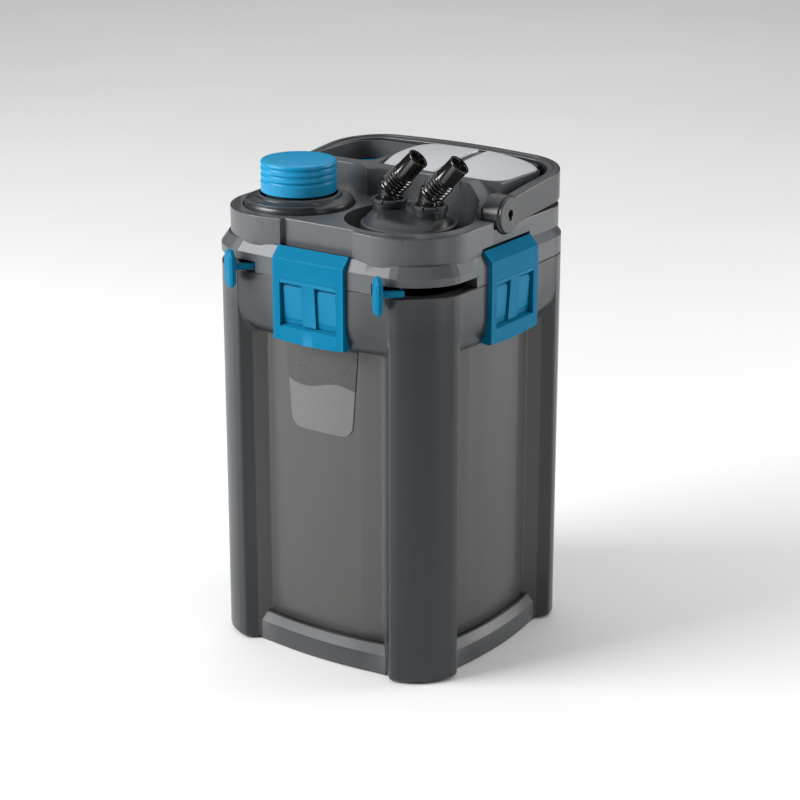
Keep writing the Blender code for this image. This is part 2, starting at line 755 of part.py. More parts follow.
def handle():
    outer, inner = handle_path()
    count = len(outer) - 1
    sections = []
    for i, (out, inn) in enumerate(zip(outer, inner)):
        share = i / count
        low = handle_low(share)
        top = handle_top(share)
        sections.append([(*inn, low), (*out, low), (*out, top - 0.0015),
                         (*[o * 0.7 + n * 0.3 for o, n in zip(out, inn)], top),
                         (*[o * 0.2 + n * 0.8 for o, n in zip(out, inn)], top), (*inn, top - 0.0015)])
    left = [[(-x, y, z) for x, y, z in section] for section in sections[-2::-1]]
    bail = loft("handle", sections + left, "dark_grey")
    for side, sign in (("right", 1), ("left", -1)):
        ends = sorted((sign * 0.1003, sign * HANDLE_OUT_X))
        join(bail, cylinder_x("hub_" + side, HUB_R, ends[0], ends[1], HANDLE_Y, HANDLE_Z))
        ends = sorted((sign * 0.09, sign * 0.13))
        cut(bail, cylinder_x("hub_hole_" + side, PIN_R + GAP, ends[0], ends[1], HANDLE_Y, HANDLE_Z,
                             None, 16))
    bail_origin(bail)
    for side, sign in (("right", 1), ("left", -1)):
        pivot_pin("handle_pin_" + side, sign)
    return bail


def bail_origin(bail):
    """Move the origin onto the hinge axis without moving the handle."""
    pivot = Vector((0, HANDLE_Y, HANDLE_Z))
    bail.data.transform(Matrix.Translation(-pivot))
    bail.location = pivot


def pivot_pin(name, sign):
    """Pivot pin with a large flat head that has an oval recess."""
    ends = sorted((sign * 0.0905, sign * (HANDLE_OUT_X + 0.001)))
    pin = cylinder_x(name, PIN_R, ends[0], ends[1], HANDLE_Y, HANDLE_Z, "dark_grey", 16)
    ends = sorted((sign * (HANDLE_OUT_X + GAP), sign * (HANDLE_OUT_X + 0.0022)))
    join(pin, cylinder_x(name + "_head", 0.0152, ends[0], ends[1], HANDLE_Y, HANDLE_Z))
    ends = sorted((sign * (HANDLE_OUT_X + 0.0008), sign * (HANDLE_OUT_X + 0.01)))
    cut(pin, cylinder_x(name + "_recess", 0.0030, ends[0], ends[1], HANDLE_Y, HANDLE_Z, None, 12))
    return pin


# ---------------------------------------------------------------- latches
def latch_section():
    """Side view of a latch lever (depth behind the pillar face, z), outer face first."""
    out = -LATCH_PROUD
    inner = out + LATCH_THICK
    return [(out, LATCH_LOW_Z), (out, 0.3535), (0.0035, LATCH_TOP_Z), (0.0068, LATCH_TOP_Z - 0.0018),
            (0.0068, 0.3530), (0.0012 - 0.0009, 0.3500), (inner, 0.3450), (inner, LATCH_LOW_Z)]


def latch(side, quarter):
    out = HALF_Y if quarter % 2 == 0 else HALF_X
    section = latch_section()
    rings = []
    for x in (-LATCH_HALF, LATCH_HALF):
        rings.append([(x, -out + depth, z) for depth, z in section])
    name = "latch_" + side
    lever = loft(name, rings, "blue")
    for sign in (-1, 1):
        ends = sorted((sign * (LATCH_HALF - 0.0045), sign * LATCH_HALF))
        cheek = box("%s_cheek_%d" % (name, sign), (ends[0], -out - 0.003, LATCH_LOW_Z + 0.0005),
                    (ends[1], -out + 0.0007, 0.3465))
        join(lever, cheek)
    window = box(name + "_window", (-0.0285, -out - 0.02, 0.2975), (0.0285, -out + 0.02, 0.3375))
    pin_hole = cylinder_x(name + "_pin_hole", 0.0015 + GAP, -0.05, 0.05, -out + LATCH_PIVOT_IN,
                          LATCH_PIVOT_Z, None, 12)
    cut(lever, window, pin_hole)
    catch = latch_catch(side, out)
    pin = cylinder_x("latch_pin_" + side, 0.0015, -LATCH_HALF - 0.0005, LATCH_HALF + 0.0005,
                     -out + LATCH_PIVOT_IN, LATCH_PIVOT_Z, "steel", 12)
    turn = Matrix.Rotation(math.pi / 2 * quarter, 4, "Z")
    pivot = Vector((0, -out + LATCH_PIVOT_IN, LATCH_PIVOT_Z))
    for piece in (lever, catch, pin):
        piece.data.transform(Matrix.Translation(-pivot))
    place = turn @ Matrix.Translation(pivot)
    for piece in (lever, catch, pin):
        piece.matrix_world = place
    for modifier in list(lever.modifiers) + list(catch.modifiers):
        modifier.object.matrix_world = turn @ modifier.object.matrix_world


def latch_catch(side, out):
    """Insert in the window: a T-shaped bar between two thumb tabs, with a hook at its foot."""
    name = "latch_catch_" + side
    clear = GAP
    half = 0.0285 - clear
    back = -out - 0.0012
    front = -out - 0.0030
    catch = box(name, (-half, front, 0.2975 + clear), (half, back, 0.3375 - clear), "blue")
    bar = [(-0.0135, 0.3372), (-0.0045, 0.3340), (-0.0065, 0.3000), (0.0065, 0.3000),
           (0.0045, 0.3340), (0.0135, 0.3372)]
    rings = [[(x, -out - LATCH_PROUD, z) for x, z in bar], [(x, front + 0.001, z) for x, z in bar]]
    join(catch, loft(name + "_bar", rings))
    for sign in (-1, 1):
        tab = box("%s_tab_%d" % (name, sign), (min(sign * 0.010, sign * 0.0255), front - 0.0012, 0.3035),
                  (max(sign * 0.010, sign * 0.0255), front + 0.001, 0.3310))
        join(catch, tab)
    return catch


def latches():
    for quarter, side in enumerate(("front", "right", "rear", "left")):
        latch(side, quarter)


# ---------------------------------------------------------------- prefilter and primer
def prefilter_head():
    """Disc with a ring groove for the primer button and a barrel in its middle."""
    profile = [(0.0250, 0.4020), (0.0275, 0.4020), (0.0275, 0.3765), (0.0326, 0.3765),
               (0.0326, 0.3925), (0.0345, 0.3925), (0.0370, 0.3895), (0.0430, 0.3880),
               (0.0462, 0.3845), (0.0462, 0.3802), (0.0412, 0.3802), (0.0412, 0.3480),
               (0.0250, 0.3480)]
    disc = turned("prefilter_head", profile, PREFILTER_AXIS.xy, "dark_grey")
    floor_profile = [(0.0035, 0.3560), (0.0260, 0.3560), (0.0260, 0.3490), (0.0035, 0.3490)]
    floor = turned("prefilter_floor", floor_profile, PREFILTER_AXIS.xy)
    return join(disc, floor)


def prefilter_insert():
    at = PREFILTER_AXIS.xy
    low = 0.0140
    cage = cylinder("prefilter_cage", 0.0400, low, 0.3476, at, "dark_grey", 32)
    cut(cage, cylinder("cage_room", 0.0378, low + 0.0025, 0.36, at, None, 32))
    for level in range(2):
        for i in range(4):
            window = box("cage_window_%d_%d" % (level, i), (0.020, -0.0170, low + 0.012 + 0.155 * level),
                         (0.055, 0.0170, low + 0.150 + 0.155 * level))
            window.location = (at.x, at.y, 0)
            window.rotation_euler = (0, 0, math.pi / 2 * i + math.pi / 4)
            cut(cage, window)
    foam = cylinder("prefilter_foam", 0.0370, low + 0.003, 0.3440, at, "foam_orange", 28)
    cut(foam, cylinder("foam_room", 0.0130, 0.0, 0.40, at, None, 24))
    tube = cylinder("prefilter_tube", 0.0120, low + 0.003, 0.3460, at, "dark_grey", 24)
    cut(tube, cylinder("tube_room", 0.0102, 0.0, 0.40, at, None, 24))
    turned("prefilter_seal", [(0.0422, 0.3798), (0.0455, 0.3798), (0.0455, 0.3789), (0.0422, 0.3789)],
           at, "rubber", 32)


def primer():
    at = PREFILTER_AXIS.xy
    groove = 0.0006
    profile = [(0, CAP_TOP_Z), (0.0240, CAP_TOP_Z - 0.0004), (CAP_R - 0.0015, CAP_TOP_Z - 0.0014),
               (CAP_R, CAP_TOP_Z - 0.0030)]
    for depth in (0.005, 0.011, 0.017):
        z = CAP_TOP_Z - depth
        profile += [(CAP_R, z + 0.0008), (CAP_R - groove, z), (CAP_R, z - 0.0008)]
    inner_top = 0.4183
    profile += [(CAP_R, CAP_LOW_Z), (0.0284, CAP_LOW_Z), (0.0284, inner_top), (0, inner_top)]
    turned("primer_cap", profile, at, "blue")
    piston = [(0, 0.4179), (0.0060, 0.4179), (0.0060, 0.3960), (0.0243, 0.3960), (0.0243, 0.3880),
              (0, 0.3880)]
    turned("primer_piston", piston, at, "dark_grey", 28)
    spring(at)


def spring(at):
    """Helical return spring under the piston."""
    turns = 4
    per_turn = 10
    radius = 0.0180
    low = 0.3580
    high = 0.3862
    wire = 0.0009
    curve = bpy.data.curves.new("primer_spring", "CURVE")
    curve.dimensions = "3D"
    line = curve.splines.new("POLY")
    count = turns * per_turn + 1
    line.points.add(count - 1)
    for i in range(count):
        angle = 2 * math.pi * i / per_turn
        z = low + (high - low) * i / (count - 1)
        line.points[i].co = (at.x + radius * math.cos(angle), at.y + radius * math.sin(angle), z, 1)
    curve.bevel_depth = wire
    curve.bevel_resolution = 1
    curve.use_fill_caps = True
    return curve_to_mesh("primer_spring", curve, "steel")


def curve_to_mesh(name, curve, colour):
    """Turn a curve into a closed mesh object."""
    wire = bpy.data.objects.new(name + "_curve", curve)
    bpy.context.scene.collection.objects.link(wire)
    graph = bpy.context.evaluated_depsgraph_get()
    mesh = bpy.data.meshes.new_from_object(wire.evaluated_get(graph))
    place = wire.matrix_world.copy()
    bpy.data.objects.remove(wire, do_unlink=True)
    work = bmesh.new()
    work.from_mesh(mesh)
    bmesh.ops.remove_doubles(work, verts=work.verts, dist=0.00002)
    made = add_object(name, mesh_of(work, name), colour)
    made.matrix_world = place
    return smooth(made, 50)


# ---------------------------------------------------------------- hose adaptor
def adaptor_body():
    """Domed adaptor: flange, dome, two collars, and a barrel through the well's floor."""
    at = ADAPTOR_AXIS.xy
    profile = [(0, 0.3905), (0.0120, 0.3900), (0.0240, 0.3880), (0.0330, 0.3845), (0.0375, 0.3805),
               (0.0400, 0.3795), (0.0400, 0.3760), (0.0370, 0.3681), (0.0285, 0.3681),
               (0.0285, 0.3475), (0, 0.3475)]
    body = turned("adaptor_body", profile, at, "dark_grey")
    for side, sign in (("left", -1), ("right", 1)):
        spot = (at.x + sign * NOZZLE_OFFSET, at.y)
        join(body, cylinder("socket_" + side, 0.0135, 0.3700, 0.3920, spot, None, 24))
    for side, sign in (("left", -1), ("right", 1)):
        spot = (at.x + sign * NOZZLE_OFFSET, at.y)
        cut(body, cylinder("nozzle_seat_" + side, 0.0103, 0.3880, 0.45, spot, None, 24),
            cylinder("port_" + side, 0.0068, 0.30, 0.45, spot, None, 16))
    return body


def union_nut(side, sign):
    """Slotted union nut that holds a nozzle in its socket."""
    at = (ADAPTOR_AXIS.x + sign * NOZZLE_OFFSET, ADAPTOR_AXIS.y)
    name = "union_nut_" + side
    nut = turned(name, [(0.0112, 0.3975), (0.0142, 0.3975), (0.0150, 0.3966), (0.0150, 0.3924),
                        (0.0112, 0.3924)], at, "dark_grey", 28)
    for i in range(4):
        notch = box("%s_notch_%d" % (name, i), (0.0085, -0.0015, 0.3960), (0.0200, 0.0015, 0.4100))
        notch.location = (at[0], at[1], 0)
        notch.rotation_euler = (0, 0, math.pi / 2 * i + math.pi / 4)
        cut(nut, notch)
    return nut


def nozzle(side, sign):
    """Angle nozzle: ribbed upright stub, then a plain hose tube leaning over to +X."""
    at = Vector((ADAPTOR_AXIS.x + sign * NOZZLE_OFFSET, ADAPTOR_AXIS.y, 0))
    name = "nozzle_" + side
    lean = Vector((math.sin(NOZZLE_LEAN) * math.cos(NOZZLE_YAW),
                   math.sin(NOZZLE_LEAN) * math.sin(NOZZLE_YAW), math.cos(NOZZLE_LEAN)))
    bend = Vector((at.x, at.y, NOZZLE_BEND_Z))
    low = Vector((at.x, at.y, 0.3884))
    up = Vector((0, 0, 1))
    halfway = (up + lean).normalized()
    stations = [(low, up, 0.0098), (low + up * 0.0090, up, 0.0098)]
    stations.append((bend - up * 0.0035, up.lerp(halfway, 0.5), 0.0092))
    stations.append((bend, halfway, 0.0092))
    rib_pitch = 0.0036
    for i in range(5):
        start = 0.0040 + rib_pitch * i
        stations.append((bend + lean * start, lean, 0.0088))
        stations.append((bend + lean * (start + 0.0012), lean, 0.0108))
        stations.append((bend + lean * (start + 0.0026), lean, 0.0088))
    stations.append((bend + lean * (NOZZLE_REACH - 0.0030), lean, 0.0087))
    stations.append((bend + lean * (NOZZLE_REACH - 0.0020), lean, 0.0092))
    stations.append((bend + lean * NOZZLE_REACH, lean, 0.0092))
    tube = loft(name, [ring_at(*station) for station in stations], "black")
    bore = [(low - up * 0.01, up, 0.0066), (bend, halfway, 0.0066),
            (bend + lean * 0.08, lean, 0.0066)]
    cut(tube, loft(name + "_bore", [ring_at(*station) for station in bore]))
    tube.data.transform(Matrix.Translation(-at))
    tube.location = at
    return tube


def ring_at(centre, direction, radius, sides=14):
    """Circle of points around a centre, square to a direction."""
    across = Vector((0, 1, 0))
    first = (across - direction * across.dot(direction)).normalized()
    second = direction.cross(first).normalized()
    points = []
    for i in range(sides):
        angle = 2 * math.pi * i / sides
        points.append(tuple(centre + first * radius * math.cos(angle) + second * radius * math.sin(angle)))
    return points


def adaptor():
    adaptor_body()
    at = ADAPTOR_AXIS.xy
    turned("adaptor_seal", [(0.0315, 0.3677), (0.0350, 0.3677), (0.0350, 0.3664), (0.0315, 0.3664)],
           at, "rubber", 28)
    for side, sign in (("left", -1), ("right", 1)):
        union_nut(side, sign)
        nozzle(side, sign)


# ---------------------------------------------------------------- lock levers
def lock_lever(name, axis, ring_in, ring_out, tip, lean, grip_turn):
    """Flat ring around an axis with an arm through the slot and an upright grip at its end."""
    low = LEVER_Z - LEVER_THICK / 2
    high = LEVER_Z + LEVER_THICK / 2
    lever = cylinder(name, ring_out, low, high, axis.xy, "blue", 32)
    inward = Vector((math.cos(lean), math.sin(lean)))
    across = Vector((-inward.y, inward.x)) * 0.0026
    root = axis.xy + (tip - axis.xy).normalized() * (ring_out - 0.002)
    elbow = tip + inward * 0.020
    arm = [tip + across, tip - across, elbow - across, root - across, root + across, elbow + across]
    join(lever, prism(name + "_arm", [tuple(point) for point in arm], low, high))
    cut(lever, cylinder(name + "_room", ring_in, low - 0.01, high + 0.01, axis.xy, None, 32))
    facing = Vector((math.cos(lean + grip_turn), math.sin(lean + grip_turn)))
    join(lever, grip(name, tip, facing))
    lever.data.transform(Matrix.Translation(-axis))
    lever.location = axis
    return lever


def grip(name, tip, facing):
    """Upright oval plate, square to the facing direction."""
    half_tall = 0.0160
    half_wide = 0.0060
    thick = 0.0052
    side = Vector((-facing.y, facing.x))
    rings = []
    for depth, scale in ((0.0, 1.0), (thick * 0.7, 1.0), (thick, 0.82)):
        ring = []
        for i in range(20):
            angle = 2 * math.pi * i / 20
            wide = half_wide * scale * max(-1, min(1, 1.25 * math.cos(angle)))
            tall = half_tall * scale * math.sin(angle)
            spot = tip - facing * (depth - 0.0012) + side * wide
            ring.append((spot.x, spot.y, LEVER_Z - 0.001 + tall))
        rings.append(ring)
    return loft(name + "_grip", rings)


def lock_levers():
    lock_lever("adaptor_lock_lever", ADAPTOR_AXIS, 0.0302, 0.0370, Vector((0.0748, -0.1254)),
               math.radians(50), math.radians(0))
    lock_lever("prefilter_lock_lever", PREFILTER_AXIS, 0.0419, 0.0454, Vector((-0.0734, -0.1265)),
               math.radians(52), math.radians(8))


def build():
    canister_shell()
    base_tray()
    foot_pads()
    label_plate()
    baskets_and_media()
    head_shell()
    pump_covers()
    head_seal()
    heater_port_cap()
    cable_gland()
    motor_block()
    pump_chamber_cover()
    shaft_and_bushes()
    impeller()
    outlet_duct()
    handle()
    latches()
    prefilter_head()
    prefilter_insert()
    primer()
    adaptor()
    lock_levers()


build()
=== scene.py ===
import json
import math
import random

import bmesh
import bpy
from mathutils import Matrix, Vector


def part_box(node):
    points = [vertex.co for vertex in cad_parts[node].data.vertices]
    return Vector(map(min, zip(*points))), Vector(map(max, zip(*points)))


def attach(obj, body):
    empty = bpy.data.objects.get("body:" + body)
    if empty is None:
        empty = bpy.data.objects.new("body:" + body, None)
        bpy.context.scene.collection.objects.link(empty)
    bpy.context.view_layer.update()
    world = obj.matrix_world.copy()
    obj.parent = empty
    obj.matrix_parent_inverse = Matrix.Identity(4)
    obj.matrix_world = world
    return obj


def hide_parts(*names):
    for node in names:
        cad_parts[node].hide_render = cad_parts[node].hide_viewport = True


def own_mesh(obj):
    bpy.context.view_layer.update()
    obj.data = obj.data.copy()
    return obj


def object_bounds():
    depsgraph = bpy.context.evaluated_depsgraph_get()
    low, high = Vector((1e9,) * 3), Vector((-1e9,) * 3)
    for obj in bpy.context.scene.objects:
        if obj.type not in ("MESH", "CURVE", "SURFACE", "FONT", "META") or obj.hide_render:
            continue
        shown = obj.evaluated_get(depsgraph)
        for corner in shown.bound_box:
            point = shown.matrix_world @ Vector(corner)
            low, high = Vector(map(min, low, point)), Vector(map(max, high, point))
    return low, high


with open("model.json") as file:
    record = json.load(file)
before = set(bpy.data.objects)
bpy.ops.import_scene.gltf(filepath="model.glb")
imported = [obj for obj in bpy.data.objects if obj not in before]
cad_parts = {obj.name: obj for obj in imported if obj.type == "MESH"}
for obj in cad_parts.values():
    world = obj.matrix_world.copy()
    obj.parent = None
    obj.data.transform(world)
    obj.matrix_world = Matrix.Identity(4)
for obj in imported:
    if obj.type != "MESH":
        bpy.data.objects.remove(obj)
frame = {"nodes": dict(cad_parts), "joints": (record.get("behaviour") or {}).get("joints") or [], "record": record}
CAD_LOW, CAD_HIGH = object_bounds()

# Looks of the square canister filter. Metres, +Z up, the front with the label faces -Y.
# Places come from the frame: the boxes of its nodes and the axes of its joints.


# ---- places taken from the frame
def low(node):
    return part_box(node)[0]


def high(node):
    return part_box(node)[1]


def middle(node):
    return (low(node) + high(node)) / 2


def pivot(joint_name):
    found = [j for j in frame["joints"] if j["name"] == joint_name]
    return Vector(found[0]["pos_m"])


LATCH_PIVOT_IN = 0.0036                     # a latch's pivot lies this far behind the pillar face
HALF_X = pivot("latch_right_open").x + LATCH_PIVOT_IN
HALF_Y = pivot("latch_rear_open").y + LATCH_PIVOT_IN
LATCH_PIVOT_Z = pivot("latch_front_open").z
PILLAR = 0.0412                             # corner of the plan to the edge of a pillar
PILLAR_STRIP = 0.0069
STRIP_DROP = 0.0014
FACET_BULGE = 0.0052
RECESS = 0.0176
PANEL_BULGE = 0.0056
BAND_BULGE = 0.002
FLUSH = 0.0003
SEAT = 0.0012                               # flat behind a latch, below the pillar face
PARTING_Z = high("canister").z + 0.0003
PANEL_TOP_Z = 0.281
COLLAR_LOW_Z = 0.308
BAND_TOP_Z = 0.352
CHAMFER_TOP_Z = 0.361
CHAMFER_INSET = 0.0065
CROWN_Z = 0.383
CROWN_LOW_Z = 0.3585                        # the crown and the rims start inside the band
WALL_Z = high("head_shell").z
FLOOR_Z = 0.01                             # inside floor of the tank
TRAY_SEAT_Z = 0.005                        # the tank stands on the tray at this height
HEAD_LOW_Z = 0.3                            # cutters start below the head
OPEN_TOP_Z = 0.45                           # and end above everything

PREFILTER = Vector(middle("primer_cap").xy)
ADAPTOR = Vector(middle("adaptor_body").xy)
TOWER = Vector((0.0594, -0.0569))
TOWER_R = 0.0547
PREFILTER_WELL_R = 0.0475
PREFILTER_WELL_Z = 0.3785
PREFILTER_BORE_R = 0.0418
ADAPTOR_WELL_R = 0.0535
ADAPTOR_WELL_Z = 0.366
ADAPTOR_BORE_R = 0.0295
HUB = pivot("handle_swing")
HUB_R = 0.016
HUB_IN_X = 0.0998                           # inner face of the room for a hub
HUB_OUT_X = 0.13                            # past the outer face of the handle
PIN_HOLE_R = 0.0053
LATCH_HALF = (high("latch_front").x - low("latch_front").x) / 2
LATCH_PLAY = 0.0009                         # room beside a latch
LATCH_PROUD = 0.0052
LEVER_Z = pivot("adaptor_lock_turn").z
NOZZLES = {"left": Vector(pivot("nozzle_left_turn").xy), "right": Vector(pivot("nozzle_right_turn").xy)}
SIDES = ("front", "right", "rear", "left")


# ---- mesh helpers
def put(name, work, smooth_degrees=32):
    """Make an object of a bmesh, with smooth faces and sharp edges where they meet steeply."""
    mesh = bpy.data.meshes.new(name)
    bmesh.ops.recalc_face_normals(work, faces=work.faces)
    work.to_mesh(mesh)
    work.free()
    mesh.shade_smooth()
    mesh.set_sharp_from_angle(angle=math.radians(smooth_degrees))
    made = bpy.data.objects.new(name, mesh)
    bpy.context.scene.collection.objects.link(made)
    return made


def loft(name, rings, closed=False, smooth_degrees=32):
    """Skin between rings with equal numbers of points. A closed loft joins its last ring to its first."""
    work = bmesh.new()
    rows = [[work.verts.new(point) for point in ring] for ring in rings]
    count = len(rows[0])
    pairs = list(zip(rows, rows[1:]))
    if closed:
        pairs.append((rows[-1], rows[0]))
    for lower, upper in pairs:
        for i in range(count):
            j = (i + 1) % count
            work.faces.new((lower[i], lower[j], upper[j], upper[i]))
    if not closed:
        work.faces.new(rows[0][::-1])
        work.faces.new(rows[-1])
    return put(name, work, smooth_degrees)


def at_height(outline, z):
    return [(x, y, z) for x, y in outline]


def turned(name, profile, at, steps=96, smooth_degrees=32):
    """Turn a (radius, z) outline about a vertical axis. It may touch the axis at both ends."""
    work = bmesh.new()
    columns = []
    on_axis = {}
    for i in range(steps):
        angle = 2 * math.pi * i / steps
        column = []
        for k, (r, z) in enumerate(profile):
            if r == 0:
                if k not in on_axis:
                    on_axis[k] = work.verts.new((at[0], at[1], z))
                column.append(on_axis[k])
            else:
                column.append(work.verts.new((at[0] + r * math.cos(angle), at[1] + r * math.sin(angle), z)))
        columns.append(column)
    count = len(profile)
    last = count if profile[0][0] > 0 else count - 1
    for i in range(steps):
        first, second = columns[i], columns[(i + 1) % steps]
        for k in range(last):
            m = (k + 1) % count
            corners = []
            for vert in (first[k], first[m], second[m], second[k]):
                if vert not in corners:
                    corners.append(vert)
            if len(corners) > 2:
                work.faces.new(corners)
    return put(name, work, smooth_degrees)


def fillet(points, radius, steps=4):
    """Round the corners of a closed outline. radius is one number, or one for each corner."""
    count = len(points)
    radii = radius if isinstance(radius, (list, tuple)) else [radius] * count
    outline = []
    for i in range(count):
        corner = Vector(points[i])
        if radii[i] == 0:
            outline.append(tuple(corner))
            continue
        before = Vector(points[i - 1]) - corner
        after = Vector(points[(i + 1) % count]) - corner
        reach = min(radii[i], before.length * 0.45, after.length * 0.45)
        start = corner + before.normalized() * reach
        end = corner + after.normalized() * reach
        for k in range(steps + 1):
            t = k / steps
            outline.append(tuple(start * (1 - t) ** 2 + corner * 2 * t * (1 - t) + end * t ** 2))
    return outline


def arc(centre, radius, start, stop, count):
    """Points on an arc, angles in degrees, both ends included."""
    points = []
    for i in range(count):
        angle = math.radians(start + (stop - start) * i / (count - 1))
        points.append((centre[0] + radius * math.cos(angle), centre[1] + radius * math.sin(angle)))
    return points


def circle(centre, radius, count=96):
    angles = [2 * math.pi * i / count for i in range(count)]
    return [(centre[0] + radius * math.cos(a), centre[1] + radius * math.sin(a)) for a in angles]


def inset(outline, distance):
    """Move a counter-clockwise outline inwards along its corner normals."""
    count = len(outline)
    moved = []
    for i in range(count):
        here = Vector(outline[i])
        along = (Vector(outline[(i + 1) % count]) - Vector(outline[i - 1]))
        if along.length < 1e-9:
            moved.append(tuple(here))
            continue
        along.normalize()
        moved.append(tuple(here + Vector((-along.y, along.x)) * distance))
    return moved


def mirrored(points):
    return [(-x, y) for x, y in reversed(points)]


def on_side(profile, sign):
    """The (x, radius) outline of a piece on the right, or its mirror image on the left."""
    return profile if sign > 0 else mirrored(profile)


def quarter_round(steps):
    """Shares of a radius, (inwards, upwards), up a quarter circle from its upright start."""
    angles = [math.pi / 2 * k / steps for k in range(steps + 1)]
    return [(1 - math.cos(angle), math.sin(angle)) for angle in angles]


def turn_to(quarter):
    """Turns the front of the plan to one of the four sides."""
    return Matrix.Rotation(math.pi / 2 * quarter, 4, "Z")


def halves(quarter):
    """Half the length along a side, and how far out that side lies."""
    return (HALF_X, HALF_Y) if quarter % 2 == 0 else (HALF_Y, HALF_X)


def stack(*levels):
    """Level rings from (outline, height) pairs."""
    return [at_height(outline, z) for outline, z in levels]


def copied(node, name):
    """A new object with a copy of a node's mesh."""
    made = bpy.data.objects.new(name, frame["nodes"][node].data.copy())
    bpy.context.scene.collection.objects.link(made)
    return made


def slab(name, outline, low_z, high_z, edge=0.0, steps=3):
    """Upright prism whose top edge is rounded by edge."""
    rings = [at_height(outline, low_z)]
    if edge == 0:
        rings.append(at_height(outline, high_z))
    else:
        for inwards, upwards in quarter_round(steps):
            rings.append(at_height(inset(outline, edge * inwards), high_z - edge + edge * upwards))
    return loft(name, rings)


def block(name, low_corner, high_corner):
    work = bmesh.new()
    bmesh.ops.create_cube(work, size=1.0)
    size = [b - a for a, b in zip(low_corner, high_corner)]
    centre = [(a + b) / 2 for a, b in zip(low_corner, high_corner)]
    bmesh.ops.scale(work, vec=size, verts=work.verts)
    bmesh.ops.translate(work, vec=centre, verts=work.verts)
    return put(name, work)


def rod_x(name, profile, y, z, steps=64):
    """Turn an (x, radius) outline about an axis along X at (y, z)."""
    made = turned(name, [(r, x) for x, r in profile], (0, 0), steps)
    made.data.transform(Matrix.Translation((0, y, z)) @ Matrix.Rotation(math.pi / 2, 4, "Y"))
    return made


def baked(made):
    """Replace a piece's mesh by its evaluated one and drop its modifiers."""
    graph = bpy.context.evaluated_depsgraph_get()
    mesh = bpy.data.meshes.new_from_object(made.evaluated_get(graph))
    made.modifiers.clear()
    made.data = mesh
    return made


def combine(made, others, operation):
    """Cut or join solids, then remove the ones that were used up."""
    for other in others:
        step = made.modifiers.new("step", "BOOLEAN")
        step.operation = operation
        step.object = other
        step.solver = "EXACT"
    baked(made)
    for other in others:
        bpy.data.objects.remove(other, do_unlink=True)
    return made


def carve(made, *cutters):
    return combine(made, cutters, "DIFFERENCE")


def weld(made, *additions):
    return combine(made, additions, "UNION")


def soften(made, width, segments=2, degrees=30):
    """Round the steep edges, as on a moulded piece."""
    work = bmesh.new()
    work.from_mesh(made.data)
    bmesh.ops.remove_doubles(work, verts=work.verts, dist=0.00002)
    bmesh.ops.dissolve_degenerate(work, edges=work.edges, dist=0.00002)
    work.to_mesh(made.data)
    work.free()
    edge = made.modifiers.new("edge", "BEVEL")
    edge.width = width
    edge.segments = segments
    edge.limit_method = "ANGLE"
    edge.angle_limit = math.radians(degrees)
    edge.use_clamp_overlap = True
    edge.miter_outer = "MITER_ARC"
    baked(made)
    made.data.shade_smooth()
    made.data.set_sharp_from_angle(angle=math.radians(40))
    shade = made.modifiers.new("shade", "WEIGHTED_NORMAL")
    shade.keep_sharp = True
    shade.weight = 100
    return made


def dress(made, slot, body, *nodes, look=None):
    """Give a piece the look of its slot, put it on its body, and hide the nodes that it stands for."""
    made.data.materials.clear()
    made.data.materials.append(look or LOOKS[slot])
    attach(made, body)
    if nodes:
        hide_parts(*nodes)
    return made


# ---- materials
def new_material(name):
    made = bpy.data.materials.new(name)
    made.use_nodes = True
    tree = made.node_tree
    return made, tree, tree.nodes["Principled BSDF"]


def feed(tree, shader, socket, value):
    tree.links.new(value, shader.inputs[socket])


def sum_node(tree, operation, *values):
    """One maths node; each input is a number or a socket."""
    node = tree.nodes.new("ShaderNodeMath")
    node.operation = operation
    for value, socket in zip(values, node.inputs):
        if isinstance(value, (int, float)):
            socket.default_value = value
        else:
            tree.links.new(value, socket)
    return node.outputs["Value"]


def axes_of(tree, output="Object"):
    """The X, Y and Z of a texture coordinate."""
    place = tree.nodes.new("ShaderNodeTexCoord")
    axes = tree.nodes.new("ShaderNodeSeparateXYZ")
    tree.links.new(place.outputs[output], axes.inputs["Vector"])
    return axes.outputs


def noise(tree, scale, detail=3.0, stretch=None):
    """Noise in the object's own metres, optionally stretched along an axis."""
    place = tree.nodes.new("ShaderNodeTexCoord")
    texture = tree.nodes.new("ShaderNodeTexNoise")
    texture.inputs["Scale"].default_value = scale
    texture.inputs["Detail"].default_value = detail
    source = place.outputs["Object"]
    if stretch:
        mapping = tree.nodes.new("ShaderNodeMapping")
        mapping.inputs["Scale"].default_value = stretch
        tree.links.new(source, mapping.inputs["Vector"])
        source = mapping.outputs["Vector"]
    tree.links.new(source, texture.inputs["Vector"])
    return texture.outputs["Fac"]


def spread(tree, value, low_value, high_value, start=0.3, stop=0.7):
    """Map a value between two limits onto two others."""
    node = tree.nodes.new("ShaderNodeMapRange")
    node.inputs["From Min"].default_value = start
    node.inputs["From Max"].default_value = stop
    node.inputs["To Min"].default_value = low_value
    node.inputs["To Max"].default_value = high_value
    tree.links.new(value, node.inputs["Value"])
    return node.outputs["Result"]


def blend(tree, factor, first, second):
    """Mix two colours, each a tuple or a socket."""
    node = tree.nodes.new("ShaderNodeMix")
    node.data_type = "RGBA"
    tree.links.new(factor, node.inputs["Factor"])
    for value, socket in ((first, node.inputs[6]), (second, node.inputs[7])):
        if isinstance(value, tuple):
            socket.default_value = (*value, 1.0)
        else:
            tree.links.new(value, socket)
    return node.outputs[2]


